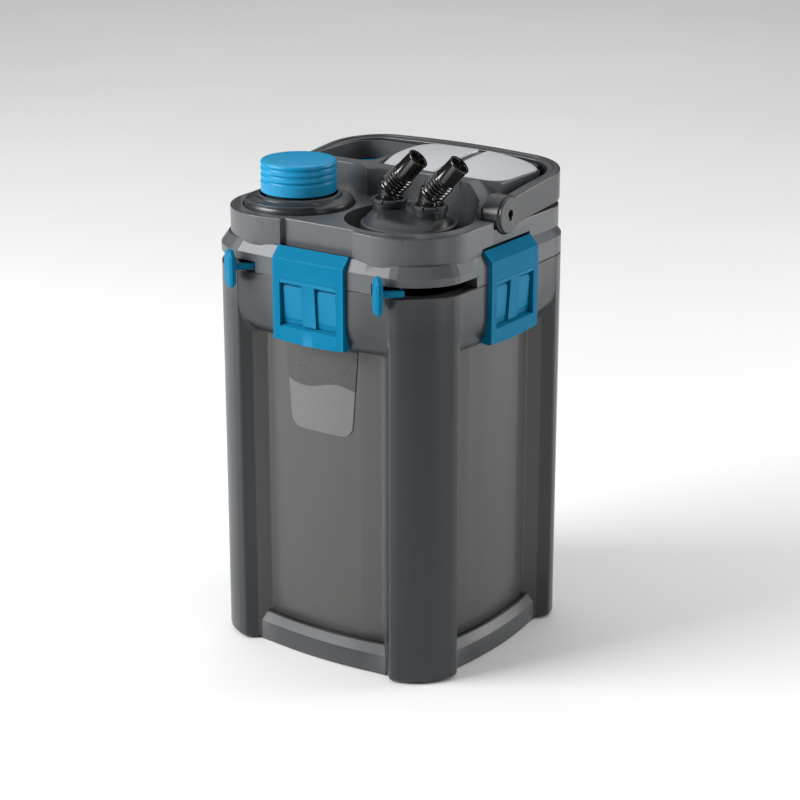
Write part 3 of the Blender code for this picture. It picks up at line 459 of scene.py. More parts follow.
def relief(tree, shader, parts):
    """Chain bump nodes. parts holds (height socket, strength, depth in metres)."""
    previous = None
    for height, strength, depth in parts:
        node = tree.nodes.new("ShaderNodeBump")
        node.inputs["Strength"].default_value = strength
        node.inputs["Distance"].default_value = depth
        tree.links.new(height, node.inputs["Height"])
        if previous:
            tree.links.new(previous, node.inputs["Normal"])
        previous = node.outputs["Normal"]
    tree.links.new(previous, shader.inputs["Normal"])


def lay_on(tree, shader, base, rough, metal=None):
    """Feed a colour and a roughness, and set how metallic the surface is."""
    feed(tree, shader, "Base Color", base)
    feed(tree, shader, "Roughness", rough)
    if metal is not None:
        shader.inputs["Metallic"].default_value = metal


def scaled(colour, factor):
    return tuple(min(1.0, c * factor) for c in colour)


def pillars_and_collar(tree):
    """1 on the corner pillars, their inner strips and the collar, and 0 on the recessed panels."""
    axes = axes_of(tree)
    past = []
    for axis, half in (("X", HALF_X), ("Y", HALF_Y)):
        sideways = sum_node(tree, "ABSOLUTE", axes[axis], 0.0)
        past.append(sum_node(tree, "SUBTRACT", sideways, half - PILLAR - PILLAR_STRIP - STRIP_DROP))
    corner = sum_node(tree, "MINIMUM", past[0], past[1])
    above = sum_node(tree, "SUBTRACT", axes["Z"], PANEL_TOP_Z)
    return spread(tree, sum_node(tree, "MAXIMUM", corner, above), 0, 1, -0.0003, 0.0003)


def moulded(name, colour, roughness, grain=0.06, grain_scale=1500, mottle=0.1, coat=0.0, edge_highlight_and_wear=0.25,
            shine=0.5, corners=None):
    """Moulded plastic: fine grain, faint flow marks, uneven gloss, and a painted highlight on the edges that also
    stands for slight rubbing.
    """
    made, tree, shader = new_material(name)
    flow = noise(tree, 14, 4, (1.0, 1.0, 0.35))
    base = blend(tree, spread(tree, flow, 0, 1), scaled(colour, 1 - mottle), scaled(colour, 1 + mottle))
    # Darker, bluer pillars and collar: partly the plastic's own tone, partly painted shade.
    if corners:
        base = blend(tree, pillars_and_collar(tree), base, corners)
    # Pointiness lightens the rounded edges: a painted highlight that also stands for slight rubbing.
    shape = tree.nodes.new("ShaderNodeNewGeometry")
    highlit_and_rubbed_edges = spread(tree, shape.outputs["Pointiness"], 0.0, edge_highlight_and_wear, 0.515, 0.6)
    base = blend(tree, highlit_and_rubbed_edges, base, scaled(tuple(c + 0.03 for c in colour), 1.9))
    feed(tree, shader, "Base Color", base)
    cloud = noise(tree, 18, 2)
    gloss = spread(tree, cloud, roughness - 0.015, roughness + 0.02, 0.2, 0.8)
    feed(tree, shader, "Roughness", gloss)
    shader.inputs["Specular IOR Level"].default_value = shine
    shader.inputs["Coat Weight"].default_value = coat
    shader.inputs["Coat Roughness"].default_value = 0.18
    fine = noise(tree, grain_scale, 2)
    relief(tree, shader, [(fine, grain, 0.0001), (noise(tree, 9, 0), 0.08, 0.001)])
    return made


WAVES_PER_METRE = 95.0                      # turns of the label's divider, in radians per metre


def label_film(name, upper, lower, split_z, wave_height):
    """Printed film: two plain greys that meet in a shallow wave."""
    made, tree, shader = new_material(name)
    axes = axes_of(tree)
    sine = sum_node(tree, "SINE", sum_node(tree, "MULTIPLY", axes["X"], WAVES_PER_METRE))
    edge = sum_node(tree, "MULTIPLY_ADD", sine, wave_height, split_z)
    gap = sum_node(tree, "SUBTRACT", axes["Z"], edge)
    above = spread(tree, gap, 0, 1, -0.0002, 0.0002)
    tint = blend(tree, above, lower, upper)
    speck = spread(tree, noise(tree, 700, 2), 0, 0.05)
    lay_on(tree, shader, blend(tree, speck, tint, (0.5, 0.5, 0.5)),
           spread(tree, noise(tree, 90, 4), 0.28, 0.32, 0.2, 0.8))
    relief(tree, shader, [(noise(tree, 900, 2), 0.03, 0.0001)])
    return made


def painted_silver(name, colour):
    """Silver lacquer with fine flakes and faint cloudiness."""
    made, tree, shader = new_material(name)
    flakes = spread(tree, noise(tree, 2600, 1), 0, 1, 0.42, 0.62)
    base = blend(tree, flakes, scaled(colour, 0.93), scaled(colour, 1.07))
    cloud = spread(tree, noise(tree, 26, 4), 0, 0.5)
    lay_on(tree, shader, blend(tree, cloud, base, scaled(colour, 0.86)),
           spread(tree, noise(tree, 120, 4), 0.36, 0.48), 0.35)
    relief(tree, shader, [(noise(tree, 1900, 2), 0.08, 0.0001)])
    return made


def rubber(name):
    made, tree, shader = new_material(name)
    dust = spread(tree, noise(tree, 80, 5), 0, 0.5)
    lay_on(tree, shader, blend(tree, dust, (0.014, 0.014, 0.015), (0.045, 0.044, 0.043)),
           spread(tree, noise(tree, 200, 4), 0.62, 0.82))
    relief(tree, shader, [(noise(tree, 1100, 3), 0.2, 0.0002)])
    return made


def drawn_steel(name):
    made, tree, shader = new_material(name)
    streaks = spread(tree, noise(tree, 300, 3, (0.05, 1, 1)), 0, 1)
    lay_on(tree, shader, blend(tree, streaks, (0.5, 0.5, 0.52), (0.66, 0.66, 0.68)),
           spread(tree, noise(tree, 260, 3), 0.2, 0.36), 1.0)
    relief(tree, shader, [(noise(tree, 900, 2, (0.05, 1, 1)), 0.08, 0.0001)])
    return made


def open_foam(name, colour):
    """Open-cell foam: pores darkened by painted shade, between thin ribs."""
    made, tree, shader = new_material(name)
    place = tree.nodes.new("ShaderNodeTexCoord")
    cells = tree.nodes.new("ShaderNodeTexVoronoi")
    cells.inputs["Scale"].default_value = 420
    tree.links.new(place.outputs["Object"], cells.inputs["Vector"])
    # Painted shade in the pores: the colour drops to a quarter at the middle of each cell.
    pores = spread(tree, cells.outputs["Distance"], 0, 1, 0.15, 0.55)
    lay_on(tree, shader, blend(tree, pores, scaled(colour, 0.25), colour),
           spread(tree, noise(tree, 90, 3), 0.85, 0.97))
    relief(tree, shader, [(cells.outputs["Distance"], 0.7, 0.0012)])
    return made


def unglazed(name, colour, pores=0.25):
    """Unglazed ceramic or sintered ferrite."""
    made, tree, shader = new_material(name)
    spots = spread(tree, noise(tree, 260, 5), 0, 1)
    lay_on(tree, shader, blend(tree, spots, scaled(colour, 0.85), scaled(colour, 1.08)),
           spread(tree, noise(tree, 400, 3), 0.5, 0.68))
    relief(tree, shader, [(noise(tree, 800, 4), pores, 0.0003)])
    return made


def pale_floor(name):
    made, tree, shader = new_material(name)
    cloud = spread(tree, noise(tree, 1.4, 3), 0, 1)
    feed(tree, shader, "Base Color", blend(tree, cloud, (0.86, 0.86, 0.86), (0.9, 0.9, 0.9)))
    shader.inputs["Roughness"].default_value = 0.6
    return made


DARK = moulded("dark_plastic", (0.02, 0.023, 0.0265), 0.32, edge_highlight_and_wear=0.8)
# Tank plastic; the darker colour on its pillars and collar is partly its own tone, partly painted shade.
PANEL = moulded("tank_plastic", (0.058, 0.0565, 0.055), 0.3, mottle=0.06, edge_highlight_and_wear=0.4,
                corners=(0.015, 0.0195, 0.0235))
BLUE = moulded("blue_plastic", (0.0, 0.145, 0.275), 0.42, mottle=0.05, edge_highlight_and_wear=0.3, shine=0.05)
BUTTON = moulded("button_plastic", (0.0, 0.235, 0.45), 0.34, mottle=0.05, edge_highlight_and_wear=0.3, shine=0.3)
BLACK = moulded("black_plastic", (0.008, 0.008, 0.008), 0.12, grain=0.02, mottle=0.2, coat=0.3, edge_highlight_and_wear=0.1)
SILVER = painted_silver("silver_plastic", (0.5, 0.515, 0.54))
RUBBER = rubber("rubber")
STEEL = drawn_steel("steel")
CERAMIC = unglazed("ceramic", (0.74, 0.73, 0.69))
FERRITE = unglazed("magnet", (0.03, 0.03, 0.032), 0.15)
FOAM_BLUE = open_foam("coarse_foam", (0.05, 0.2, OPEN_TOP_Z))
FOAM_ORANGE = open_foam("orange_foam", (0.75, 0.25, 0.04))
FOAM_BLACK = open_foam("fine_foam", (0.035, 0.035, 0.035))
LABEL = label_film("label", (0.03, 0.03, 0.031), (0.116, 0.116, 0.118), 0.2455, 0.003)
LOOKS = {"dark_plastic": DARK, "blue_plastic": BLUE, "silver_plastic": SILVER, "black_plastic": BLACK,
         "rubber": RUBBER, "steel": STEEL, "ceramic": CERAMIC, "magnet": FERRITE, "coarse_foam": FOAM_BLUE,
         "orange_foam": FOAM_ORANGE, "fine_foam": FOAM_BLACK, "label": LABEL}


# ---- plan of the canister
def side_points(half_along, half_out, pillar, recess, bulge, seat):
    """One side of the plan facing -Y, from pillar edge to pillar edge, with the seat behind a latch."""
    edge = half_along - pillar
    inner = edge - recess
    seat_half = LATCH_HALF + LATCH_PLAY

    def depth(x):
        return recess - bulge * (1 - (x / inner) ** 2)

    points = [(-edge, -half_out), (-inner, -half_out + recess)]
    radii = [0.0022, 0.0016]
    shares = [seat_half + (inner - seat_half) * s for s in (0.75, 0.4, 0.15)]
    for x in shares:
        points.append((-x, -half_out + depth(x)))
    points.append((-seat_half - 0.00002, -half_out + depth(seat_half)))
    for i in range(11):
        x = seat_half * (i / 5 - 1)
        there = depth(x)
        points.append((x, -half_out + (max(there, seat) if seat else there)))
    points.append((seat_half + 0.00002, -half_out + depth(seat_half)))
    for x in reversed(shares):
        points.append((x, -half_out + depth(x)))
    points += [(inner, -half_out + recess), (edge, -half_out)]
    radii += [0.0] * (len(points) - 4) + [0.0016, 0.0022]
    return points, radii


def corner_points(half_along, half_out, pillar):
    """The narrow strips and the bulged facet between two sides."""
    start = Vector((half_along - pillar + PILLAR_STRIP, -half_out + STRIP_DROP))
    end = Vector((half_along - STRIP_DROP, -half_out + pillar - PILLAR_STRIP))
    outward = Vector((1, -1)).normalized()
    points = []
    count = 14
    for i in range(count + 1):
        share = i / count
        lift = FACET_BULGE * 4 * share * (1 - share)
        points.append(tuple(start.lerp(end, share) + outward * lift))
    return points, [0.0008] + [0.0] * (count - 1) + [0.0008]


def plan(inset_by=0.0, recess=FLUSH, bulge=BAND_BULGE, seat=0.0):
    """Outline of the canister, moved inwards, with its side panels set back by recess."""
    pillar = PILLAR - inset_by * (2 - math.sqrt(2))
    points = []
    radii = []
    for quarter in range(4):
        along, out = [half - inset_by for half in halves(quarter)]
        turn = Matrix.Rotation(math.pi / 2 * quarter, 2)
        for found, rounding in (side_points(along, out, pillar, recess, bulge, seat),
                                corner_points(along, out, pillar)):
            points += [tuple(turn @ Vector(point)) for point in found]
            radii += rounding
    return fillet(points, radii, 3)


# ---- canister, tray, feet and label
def canister():
    """Hollow tank: pillars with rounded feet, bulged panels, and the swell up into the collar."""
    foot_z = 0.0012
    foot_r = 0.0036
    rings = []
    for upwards, outwards in quarter_round(4):
        rings.append(at_height(plan(foot_r * (1 - outwards), RECESS, PANEL_BULGE), foot_z + foot_r * upwards))
    for z in (0.05, 0.12, 0.2, PANEL_TOP_Z):
        rings.append(at_height(plan(0, RECESS, PANEL_BULGE), z))
    for upwards, share in quarter_round(14)[1:]:
        recess = RECESS + (FLUSH - RECESS) * share
        bulge = PANEL_BULGE + (BAND_BULGE - PANEL_BULGE) * share
        z = PANEL_TOP_Z + (COLLAR_LOW_Z - PANEL_TOP_Z) * upwards
        rings.append(at_height(plan(0, recess, bulge, SEAT), z))
    top = PARTING_Z - 0.0003
    rings.append(at_height(plan(0, FLUSH, BAND_BULGE, SEAT), top - 0.0007))
    rings.append(at_height(plan(0.0006, FLUSH, BAND_BULGE, SEAT), top))
    rim = 0.0046
    wall = 0.0205
    lip_low_z = 0.312
    wall_top_z = 0.288
    inside = ((rim, top, BAND_BULGE), (rim, lip_low_z, BAND_BULGE), (wall, wall_top_z, PANEL_BULGE),
              (wall, FLOOR_Z + 0.003, PANEL_BULGE), (wall + 0.003, FLOOR_Z, PANEL_BULGE))
    for pulled_in, z, bulge in inside:
        rings.append(at_height(plan(pulled_in, FLUSH, bulge), z))
    shell = loft("tank", rings, smooth_degrees=34)
    carve(shell, slab("tray_room", tray_outline(-0.0005), -0.01, TRAY_SEAT_Z))
    return dress(shell, "dark_plastic", "canister", "canister", look=PANEL)


def tray_outline(grow=0.0):
    """Cross-shaped plan of the tray, between the pillars."""
    outline = []
    setback = 0.0099
    for quarter in range(4):
        along, out = halves(quarter)
        turn = Matrix.Rotation(math.pi / 2 * quarter, 2)
        edge = along - PILLAR - setback - 0.0006 - grow
        depth = -out + setback + grow
        inner = (along - PILLAR - 0.03, -out + 0.03)
        side = [(-inner[0], inner[1]), (-edge, depth)]
        count = 12
        for i in range(1, count):
            share = 2 * i / count - 1
            side.append((edge * share, depth - PANEL_BULGE * (1 - share * share)))
        side += [(edge, depth), inner]
        outline += [tuple(turn @ Vector(point)) for point in side]
    return outline


def base_tray():
    """Tray with four low skirts: upright below, a broad chamfer above, slanted at the ends."""
    top = high("base_tray").z
    shoulder = 0.0175
    rings = stack((inset(tray_outline(), 0.0008), low("base_tray").z), (tray_outline(), 0.001),
                  (tray_outline(), shoulder - 0.0006), (tray_outline(0.0003), shoulder),
                  (tray_outline(0.0036), top - 0.0006), (tray_outline(0.0045), top))
    tray = loft("tray", rings)
    room = plan(-0.0006, RECESS, PANEL_BULGE)
    carve(tray, loft("tray_inner", stack((room, 0.0045), (room, 0.05))))
    return dress(tray, "dark_plastic", "canister", "base_tray")


def foot_pads():
    for corner in ("front_left", "front_right", "rear_left", "rear_right"):
        name = "foot_pad_" + corner
        at = middle(name)
        top = high(name).z
        profile = [(0, top), (0.0125, top), (0.0125, 0.0004), (0.012, 0.0), (0.006, 0.0), (0.0052, 0.0004),
                   (0, 0.0004)]
        pad = turned("pad_" + corner, profile, at.xy, 48)
        dress(pad, "rubber", "canister", name)


def label_plate():
    """Thin shield-shaped film that follows the bulge of the front panel."""
    top_z = high("label_plate").z
    low_z = low("label_plate").z - 0.0065
    half_top = 0.037
    half_low = 0.031
    inner = HALF_X - PILLAR - RECESS
    corner = 0.01
    rows = 40
    columns = 24
    work = bmesh.new()

    def half_width(z):
        share = (z - low_z) / (top_z - low_z)
        width = half_low + (half_top - half_low) * share
        rise = z - low_z
        if rise < corner:
            width -= corner * (1 - math.sqrt(max(0.0, 1 - (1 - rise / corner) ** 2)))
        return width

    def surface(x, lift):
        return -HALF_Y + RECESS - PANEL_BULGE * (1 - (x / inner) ** 2) - lift

    layers = []
    for lift in (0.00015, 0.0008):
        grid = []
        for r in range(rows + 1):
            z = low_z + (top_z - low_z) * (r / rows) ** 1.3
            pulled_in = 0.0004 if lift > 0.0005 else 0.0
            width = half_width(z) - pulled_in
            across = [width * (2 * c / columns - 1) for c in range(columns + 1)]
            grid.append([work.verts.new((x, surface(x, lift), z)) for x in across])
        layers.append(grid)
    back, front = layers
    for r in range(rows):
        for c in range(columns):
            work.faces.new((front[r][c], front[r][c + 1], front[r + 1][c + 1], front[r + 1][c]))
            work.faces.new((back[r + 1][c], back[r + 1][c + 1], back[r][c + 1], back[r][c]))
        for c in (0, columns):
            work.faces.new((front[r][c], front[r + 1][c], back[r + 1][c], back[r][c]))
    for r in (0, rows):
        for c in range(columns):
            work.faces.new((front[r][c], front[r][c + 1], back[r][c + 1], back[r][c]))
    film = put("label_film", work, 50)
    return dress(film, "label", "canister", "label_plate")


# ---- head shell
def towers_outline(half_x, shrink=0.0):
    """Front of the crown: two round towers with a set-back flat wall between them."""
    right = [(0.0345, -0.104 + shrink), (0.0362, -0.1086 + shrink), (0.044, -0.1104 + shrink)]
    right += arc(TOWER, TOWER_R - shrink, -100, 0, 40)
    return right + [(half_x - shrink, -0.04)]


def crown_outline(half_x, rear_y):
    """Rear of the crown, which starts just ahead of where the rims end."""
    rear_r = 0.04
    right = [(half_x, -0.0215), (half_x, rear_y - rear_r)]
    right += arc((half_x - rear_r, rear_y - rear_r), rear_r, 4, 90, 20)
    return right + mirrored(right)


def rim_outline():
    """Raised rims of the two wells, up to the room for the handle's hubs."""
    right = towers_outline(0.114)
    right += [(0.114, -0.02), (0.0985, -0.02), (0.0985, 0.012)]
    return right + mirrored(right)


def housing_outline():
    """Pump housing: two hollow arcs in front that meet in a cusp, round corners behind."""
    front = arc(PREFILTER, 0.062, 121, 58.8, 28) + arc((0.0301, -0.1278), 0.1373, 113, 71, 36)[1:]
    front += [(0.0975, -0.014)]
    rear_r = 0.03
    half = 0.099
    rear_y = 0.097
    outline = front + [(half, -0.01), (half, rear_y - rear_r)]
    rear = arc((half - rear_r, rear_y - rear_r), rear_r, 5, 90, 18)
    outline += rear + mirrored(rear)
    return outline + [(-half, -0.01), (-0.0975, -0.006)]


def shoulder_cutter(sign):
    """Takes the top of the housing down in a curve towards a handle hub."""
    profile = [(0.13, 0.43), (0.07, 0.43)]
    for k in range(13):
        t = k / 12
        profile.append((0.07 + 0.03 * t, WALL_Z + 0.0002 - 0.015 * t * t))
    profile += [(0.13, 0.388)]
    rings = [[(sign * x, y, z) for x, z in profile] for y in (-0.06, 0.015)]
    return loft("shoulder", rings)


def lever_slot(name, axis, start, stop):
    """Room for a T-lever's swing, between two angles about its well's axis."""
    outer_r = 0.102
    inner_r = 0.044
    top_z = 0.3452
    outline = arc(axis, outer_r, start, stop, 40) + arc(axis, inner_r, stop, start, 40)
    return slab(name, outline, PARTING_Z - 0.001, top_z)


def hinge_room(quarter):
    """Round room for the head of a latch, with its flat seat below."""
    out = halves(quarter)[1]
    half = LATCH_HALF + LATCH_PLAY
    room_r = 0.0098
    seat_low_z = 0.32
    room = rod_x("room", [(-half, 0), (-half, room_r), (half, room_r), (half, 0)], -out + LATCH_PIVOT_IN,
                 LATCH_PIVOT_Z, 48)
    seat = block("seat", (-half, -out - 0.02, seat_low_z), (half, -out + SEAT, LATCH_PIVOT_Z))
    turn = turn_to(quarter)
    for made in (room, seat):
        made.data.transform(turn)
    return room, seat


def cover_pocket():
    outline = fillet([(-0.0285, 0.0185), (0.0975, 0.016), (0.0982, 0.0945), (-0.0305, 0.0945),
                      (-0.0372, 0.056)], [0.004, 0.018, 0.027, 0.02, 0.03], 10)
    return slab("cover_room", outline, low("pump_cover_left").z - 0.0006, OPEN_TOP_Z)


def port_pocket():
    """Deep recess round the auxiliary port, open behind the wall on the left."""
    outline = fillet([(-0.0945, 0.018), (-0.0375, 0.02), (-0.0375, 0.0925), (-0.0945, 0.0925)],
                     [0.01, 0.004, 0.006, 0.026], 8)
    return slab("port_room", outline, low("heater_port_cap").z - 0.0022, OPEN_TOP_Z)


def head_shell():
    """Band, crown, well rims and pump housing, cut for the wells, levers, latches and hubs."""
    ledge = 0.0016
    rings = stack((plan(0.0088), low("head_shell").z), (plan(0.0088), PARTING_Z),
                  (plan(0.0004), PARTING_Z), (plan(), PARTING_Z + 0.0006),
                  (plan(), BAND_TOP_Z - 0.0004), (plan(0.0003), BAND_TOP_Z),
                  (plan(CHAMFER_INSET - 0.0003), CHAMFER_TOP_Z - 0.0003),
                  (plan(CHAMFER_INSET + 0.0003), CHAMFER_TOP_Z - ledge * 0.2),
                  (plan(CHAMFER_INSET + 0.0012), CHAMFER_TOP_Z - ledge))
    shell = loft("head", rings)
    weld(shell, slab("crown", crown_outline(0.1138, 0.1115), CROWN_LOW_Z, 0.3765, 0.0012),
         slab("rims", rim_outline(), CROWN_LOW_Z, CROWN_Z, 0.001),
         slab("housing", housing_outline(), 0.37, WALL_Z, 0.0012))
    ring = [(0.096, 0), (0.096, 0.017), (0.0966, 0.0176), (0.0992, 0.0176), (HUB_IN_X, 0.017),
            (HUB_IN_X, 0)]
    weld(shell, *[rod_x("hub_ring", on_side(ring, sign), HUB.y, HUB.z) for sign in (1, -1)])
    carve(shell, shoulder_cutter(1), shoulder_cutter(-1))
    cavity = stack((plan(0.0138), HEAD_LOW_Z), (plan(0.0138), 0.348), (plan(0.0188), 0.355))
    carve(shell, loft("cavity", cavity), cover_pocket(), port_pocket(),
          block("bay", (-0.012, 0.0155, HEAD_LOW_Z), (0.082, 0.0925, high("motor_block").z + 0.0006)))
    carve(shell, slab("bore", circle(PREFILTER, PREFILTER_BORE_R), HEAD_LOW_Z, OPEN_TOP_Z),
          slab("well", circle(PREFILTER, PREFILTER_WELL_R), PREFILTER_WELL_Z, OPEN_TOP_Z),
          slab("adaptor_well", circle(ADAPTOR, ADAPTOR_WELL_R), ADAPTOR_WELL_Z, OPEN_TOP_Z),
          slab("adaptor_bore", circle(ADAPTOR, ADAPTOR_BORE_R), HEAD_LOW_Z, OPEN_TOP_Z))
    for sign in (-1, 1):
        for start, radius in ((HUB_IN_X, HUB_R + 0.0008), (0.0895, PIN_HOLE_R)):
            room = on_side([(start, 0), (start, radius), (HUB_OUT_X, radius), (HUB_OUT_X, 0)], sign)
            carve(shell, rod_x("hub_room", room, HUB.y, HUB.z))
    for quarter in range(4):
        carve(shell, *hinge_room(quarter))
    carve(shell, lever_slot("right_slot", ADAPTOR, -81, -4), lever_slot("left_slot", PREFILTER, 184, 270))
    soften(shell, 0.00055, 2, 32)
    return dress(shell, "dark_plastic", "head", "head_shell")


def rim_marks():
    """Generic raised tick marks on the rims, where the lock positions are shown."""
    tick = (0.0026, 0.0009, 0.0005)
    work = bmesh.new()
    spots = [(TOWER, 0.0525, angle) for angle in (-112, -106, -100, -94, -48, -42, -36, -30)]
    left = Vector((-TOWER.x, TOWER.y))
    spots += [(left, 0.0518, angle) for angle in (-160, -154, -148, -142, -100, -94, -88)]
    for centre, radius, angle in spots:
        where = Matrix.Translation((centre.x, centre.y, CROWN_Z + 0.00015))
        where = where @ Matrix.Rotation(math.radians(angle), 4, "Z") @ Matrix.Translation((radius, 0, 0))
        made = bmesh.ops.create_cube(work, size=1.0)
        bmesh.ops.scale(work, vec=tick, verts=made["verts"])
        bmesh.ops.transform(work, matrix=where, verts=made["verts"])
    marks = put("rim_marks", work)
    soften(marks, 0.00012, 1)
    return dress(marks, "dark_plastic", "head")


# ---- covers and small pieces of the head
def cover_height(x, y):
    """The covers rise towards the rear and fall off to the right, in one soft dome."""
    rise = 0.0078 * math.sin(math.pi / 2 * max(0.0, min(1.0, (y - 0.016) / 0.08)))
    right = max(0.0, x - 0.04)
    left = max(0.0, 0.01 - x)
    return 0.4046 + rise - 0.06 * right - 1.7 * right ** 2 - 0.9 * left ** 2


def domed_panel(name, outline, bottom_z, edge=0.0012):
    """Panel with a soft domed top: shrinking copies of its outline, lifted onto the dome."""
    centre = Vector((sum(x for x, y in outline), sum(y for x, y in outline))) / len(outline)
    rings = [at_height(outline, bottom_z)]
    for inwards, upwards in quarter_round(3):
        ring = inset(outline, edge * inwards)
        rings.append([(x, y, cover_height(x, y) - edge + edge * upwards) for x, y in ring])
    last = inset(outline, edge)
    for share in (0.93, 0.8, 0.65, 0.5, 0.35, 0.2, 0.08):
        ring = [tuple(centre.lerp(Vector(point), share)) for point in last]
        rings.append([(x, y, cover_height(x, y)) for x, y in ring])
    return loft(name, rings, smooth_degrees=40)


def dense(outline, spacing=0.003):
    """Add points along the straight stretches of an outline."""
    points = []
    count = len(outline)
    for i in range(count):
        start = Vector(outline[i])
        end = Vector(outline[(i + 1) % count])
        pieces = max(1, int((end - start).length / spacing))
        for k in range(pieces):
            points.append(tuple(start.lerp(end, k / pieces)))
    return points


def pump_covers():
    left = fillet([(-0.0275, 0.0205), (0.0255, 0.0195), (0.027, 0.0925), (-0.029, 0.0925),
                   (-0.036, 0.056)], [0.004, 0.0015, 0.002, 0.018, 0.03], 8)
    right = fillet([(0.0345, 0.019), (0.0958, 0.0178), (0.0965, 0.0925), (0.036, 0.0925)],
                   [0.0015, 0.017, 0.026, 0.002], 10)
    for name, outline in (("left", left), ("right", right)):
        node = "pump_cover_" + name
        cover = domed_panel("cover_" + name, dense(outline), low(node).z)
        dress(cover, "silver_plastic", "head", node)
    strip = dense([(0.0262, 0.0195), (0.0338, 0.0192), (0.0353, 0.0922), (0.0277, 0.0922)])
    rings = [at_height(strip, low("cover_strip").z)]
    rings.append([(x, y, cover_height(x, y) - 0.0024) for x, y in strip])
    rings.append([(x, y, cover_height(x, y) - 0.002) for x, y in inset(strip, 0.0005)])
    made = loft("strip_between_covers", rings, smooth_degrees=25)
    return dress(made, "dark_plastic", "head", "cover_strip")


def port_cap():
    """Blue blanking cap with a finger bar, low in its pocket."""
    node = "heater_port_cap"
    at = middle(node)
    radius = (high(node).x - low(node).x) / 2 + 0.0015
    bottom, top = low(node).z, high(node).z + 0.0026
    face = top - 0.0014
    profile = [(0, face), (radius - 0.0016, face), (radius - 0.0004, face - 0.0005),
               (radius, face - 0.0016), (radius, bottom), (0, bottom)]
    cap = turned("port_cap", profile, at.xy)
    reach = radius * 0.8
    half = 0.0035
    bar = fillet([(at.x - reach, at.y - half), (at.x + reach, at.y - half), (at.x + reach, at.y + half),
                  (at.x - reach, at.y + half)], 0.0034, 8)
    weld(cap, slab("bar", bar, face - 0.001, top, 0.0009))
    return dress(cap, "blue_plastic", "auxiliary_cap", node)


def gland():
    """Ribbed rubber gland in the rear wall."""
    node = "cable_gland"
    a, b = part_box(node)
    outline = fillet([(a.x, a.z), (b.x, a.z), (b.x, b.z), (a.x, b.z)], 0.0016, 5)
    centre = ((a.x + b.x) / 2, (a.z + b.z) / 2)
    rings = []
    stations = 14
    for k in range(stations + 1):
        y = a.y + (b.y - a.y) * k / stations
        scale = 1.0 if k % 2 == 0 or k < 6 else 0.86
        rings.append([(centre[0] + (x - centre[0]) * scale, y, centre[1] + (z - centre[1]) * scale)
                      for x, z in outline])
    made = loft("gland", rings)
    return dress(made, "rubber", "head", node)


# ---- handle
HANDLE_THICK = 0.011


def handle_path():
    """Outer and inner plan points and the share of the way, from the right hub to the rear middle."""
    out_x = high("handle").x
    out_y = 0.1125
    outer_r = 0.045
    centre = (out_x - outer_r, out_y - outer_r)
    outer = [(out_x, y) for y in (0.003, 0.012, 0.021, 0.032, 0.045, 0.06)]
    inner = [(x - HANDLE_THICK, y) for x, y in outer]
    outer += arc(centre, outer_r, 0, 90, 22)
    inner += arc(centre, outer_r - HANDLE_THICK, 0, 90, 22)
    for x in (0.055, 0.04, 0.025, 0.01, 0.0):
        swell = 0.0015 * (1 - x / (out_x - outer_r))
        outer.append((x, out_y + swell))
        inner.append((x, out_y - HANDLE_THICK))
    lengths = [0.0]
    for first, second in zip(outer, outer[1:]):
        lengths.append(lengths[-1] + (Vector(second) - Vector(first)).length)
    return outer, inner, [length / lengths[-1] for length in lengths]


def handle_section(out, inn, share):
    """Rounded section with a shallow step along the top, outside to inside."""
    top = 0.3978 + 0.0136 * math.sin(math.pi / 2 * share ** 0.8)
    bottom = 0.3745 + 0.006 * min(1.0, share * 3)
    flat = [(0.0, bottom), (0.0, top - 0.0008), (0.16, top), (0.48, top), (0.54, top - 0.0012),
            (1.0, top - 0.0014), (1.0, bottom)]
    rounded = fillet([(depth * HANDLE_THICK, z) for depth, z in flat],
                     [0.002, 0.001, 0.0008, 0.0004, 0.0004, 0.001, 0.002], 3)
    out, inn = Vector(out), Vector(inn)
    return [(*out.lerp(inn, depth / HANDLE_THICK), z) for depth, z in rounded]


def handle():
    outer, inner, shares = handle_path()
    right = [handle_section(out, inn, share) for out, inn, share in zip(outer, inner, shares)]
    left = [[(-x, y, z) for x, y, z in section] for section in right[-2::-1]]
    bail = loft("bail", right + left)
    face = high("handle").x
    for sign in (-1, 1):
        profile = [(0.1003, 0), (0.1003, HUB_R - 0.0008), (0.1011, HUB_R), (face - 0.0012, HUB_R),
                   (face, HUB_R - 0.0012), (face, 0)]
        hole = [(0.09, 0), (0.09, PIN_HOLE_R), (HUB_OUT_X, PIN_HOLE_R), (HUB_OUT_X, 0)]
        weld(bail, rod_x("hub", on_side(profile, sign), HUB.y, HUB.z))
        carve(bail, rod_x("hole", on_side(hole, sign), HUB.y, HUB.z))
    soften(bail, 0.0005, 2, 35)
    return dress(bail, "dark_plastic", "handle", "handle")


def handle_pins():
    """Pins with a flat round head and a keyhole recess."""
    for side, sign in (("left", -1), ("right", 1)):
        node = "handle_pin_" + side
        inside = high("handle").x + 0.0003
        face = inside + 0.0019
        profile = [(0.0905, 0), (0.0905, 0.005), (inside, 0.005), (inside, 0.0152), (face - 0.0006, 0.0152),
                   (face, 0.0146), (face, 0)]
        pin = rod_x("pin_" + side, on_side(profile, sign), HUB.y, HUB.z, 72)
        reach = sorted((sign * (face - 0.007), sign * (face + 0.01)))
        keyhole = rod_x("keyhole", [(reach[0], 0), (reach[0], 0.0036), (reach[1], 0.0036), (reach[1], 0)],
                        HUB.y, HUB.z + 0.0008, 32)
        stem = block("stem", (reach[0], HUB.y - 0.0019, HUB.z - 0.0048), (reach[1], HUB.y + 0.0019, HUB.z))
        weld(keyhole, stem)
        carve(pin, keyhole)
        soften(pin, 0.0003, 2, 35)
        dress(pin, "dark_plastic", "head", node)


# ---- latches
WINDOW_HALF = 0.0285
WINDOW_LOW_Z = 0.2965
WINDOW_TOP_Z = 0.337
SILL_RISE = 0.0016


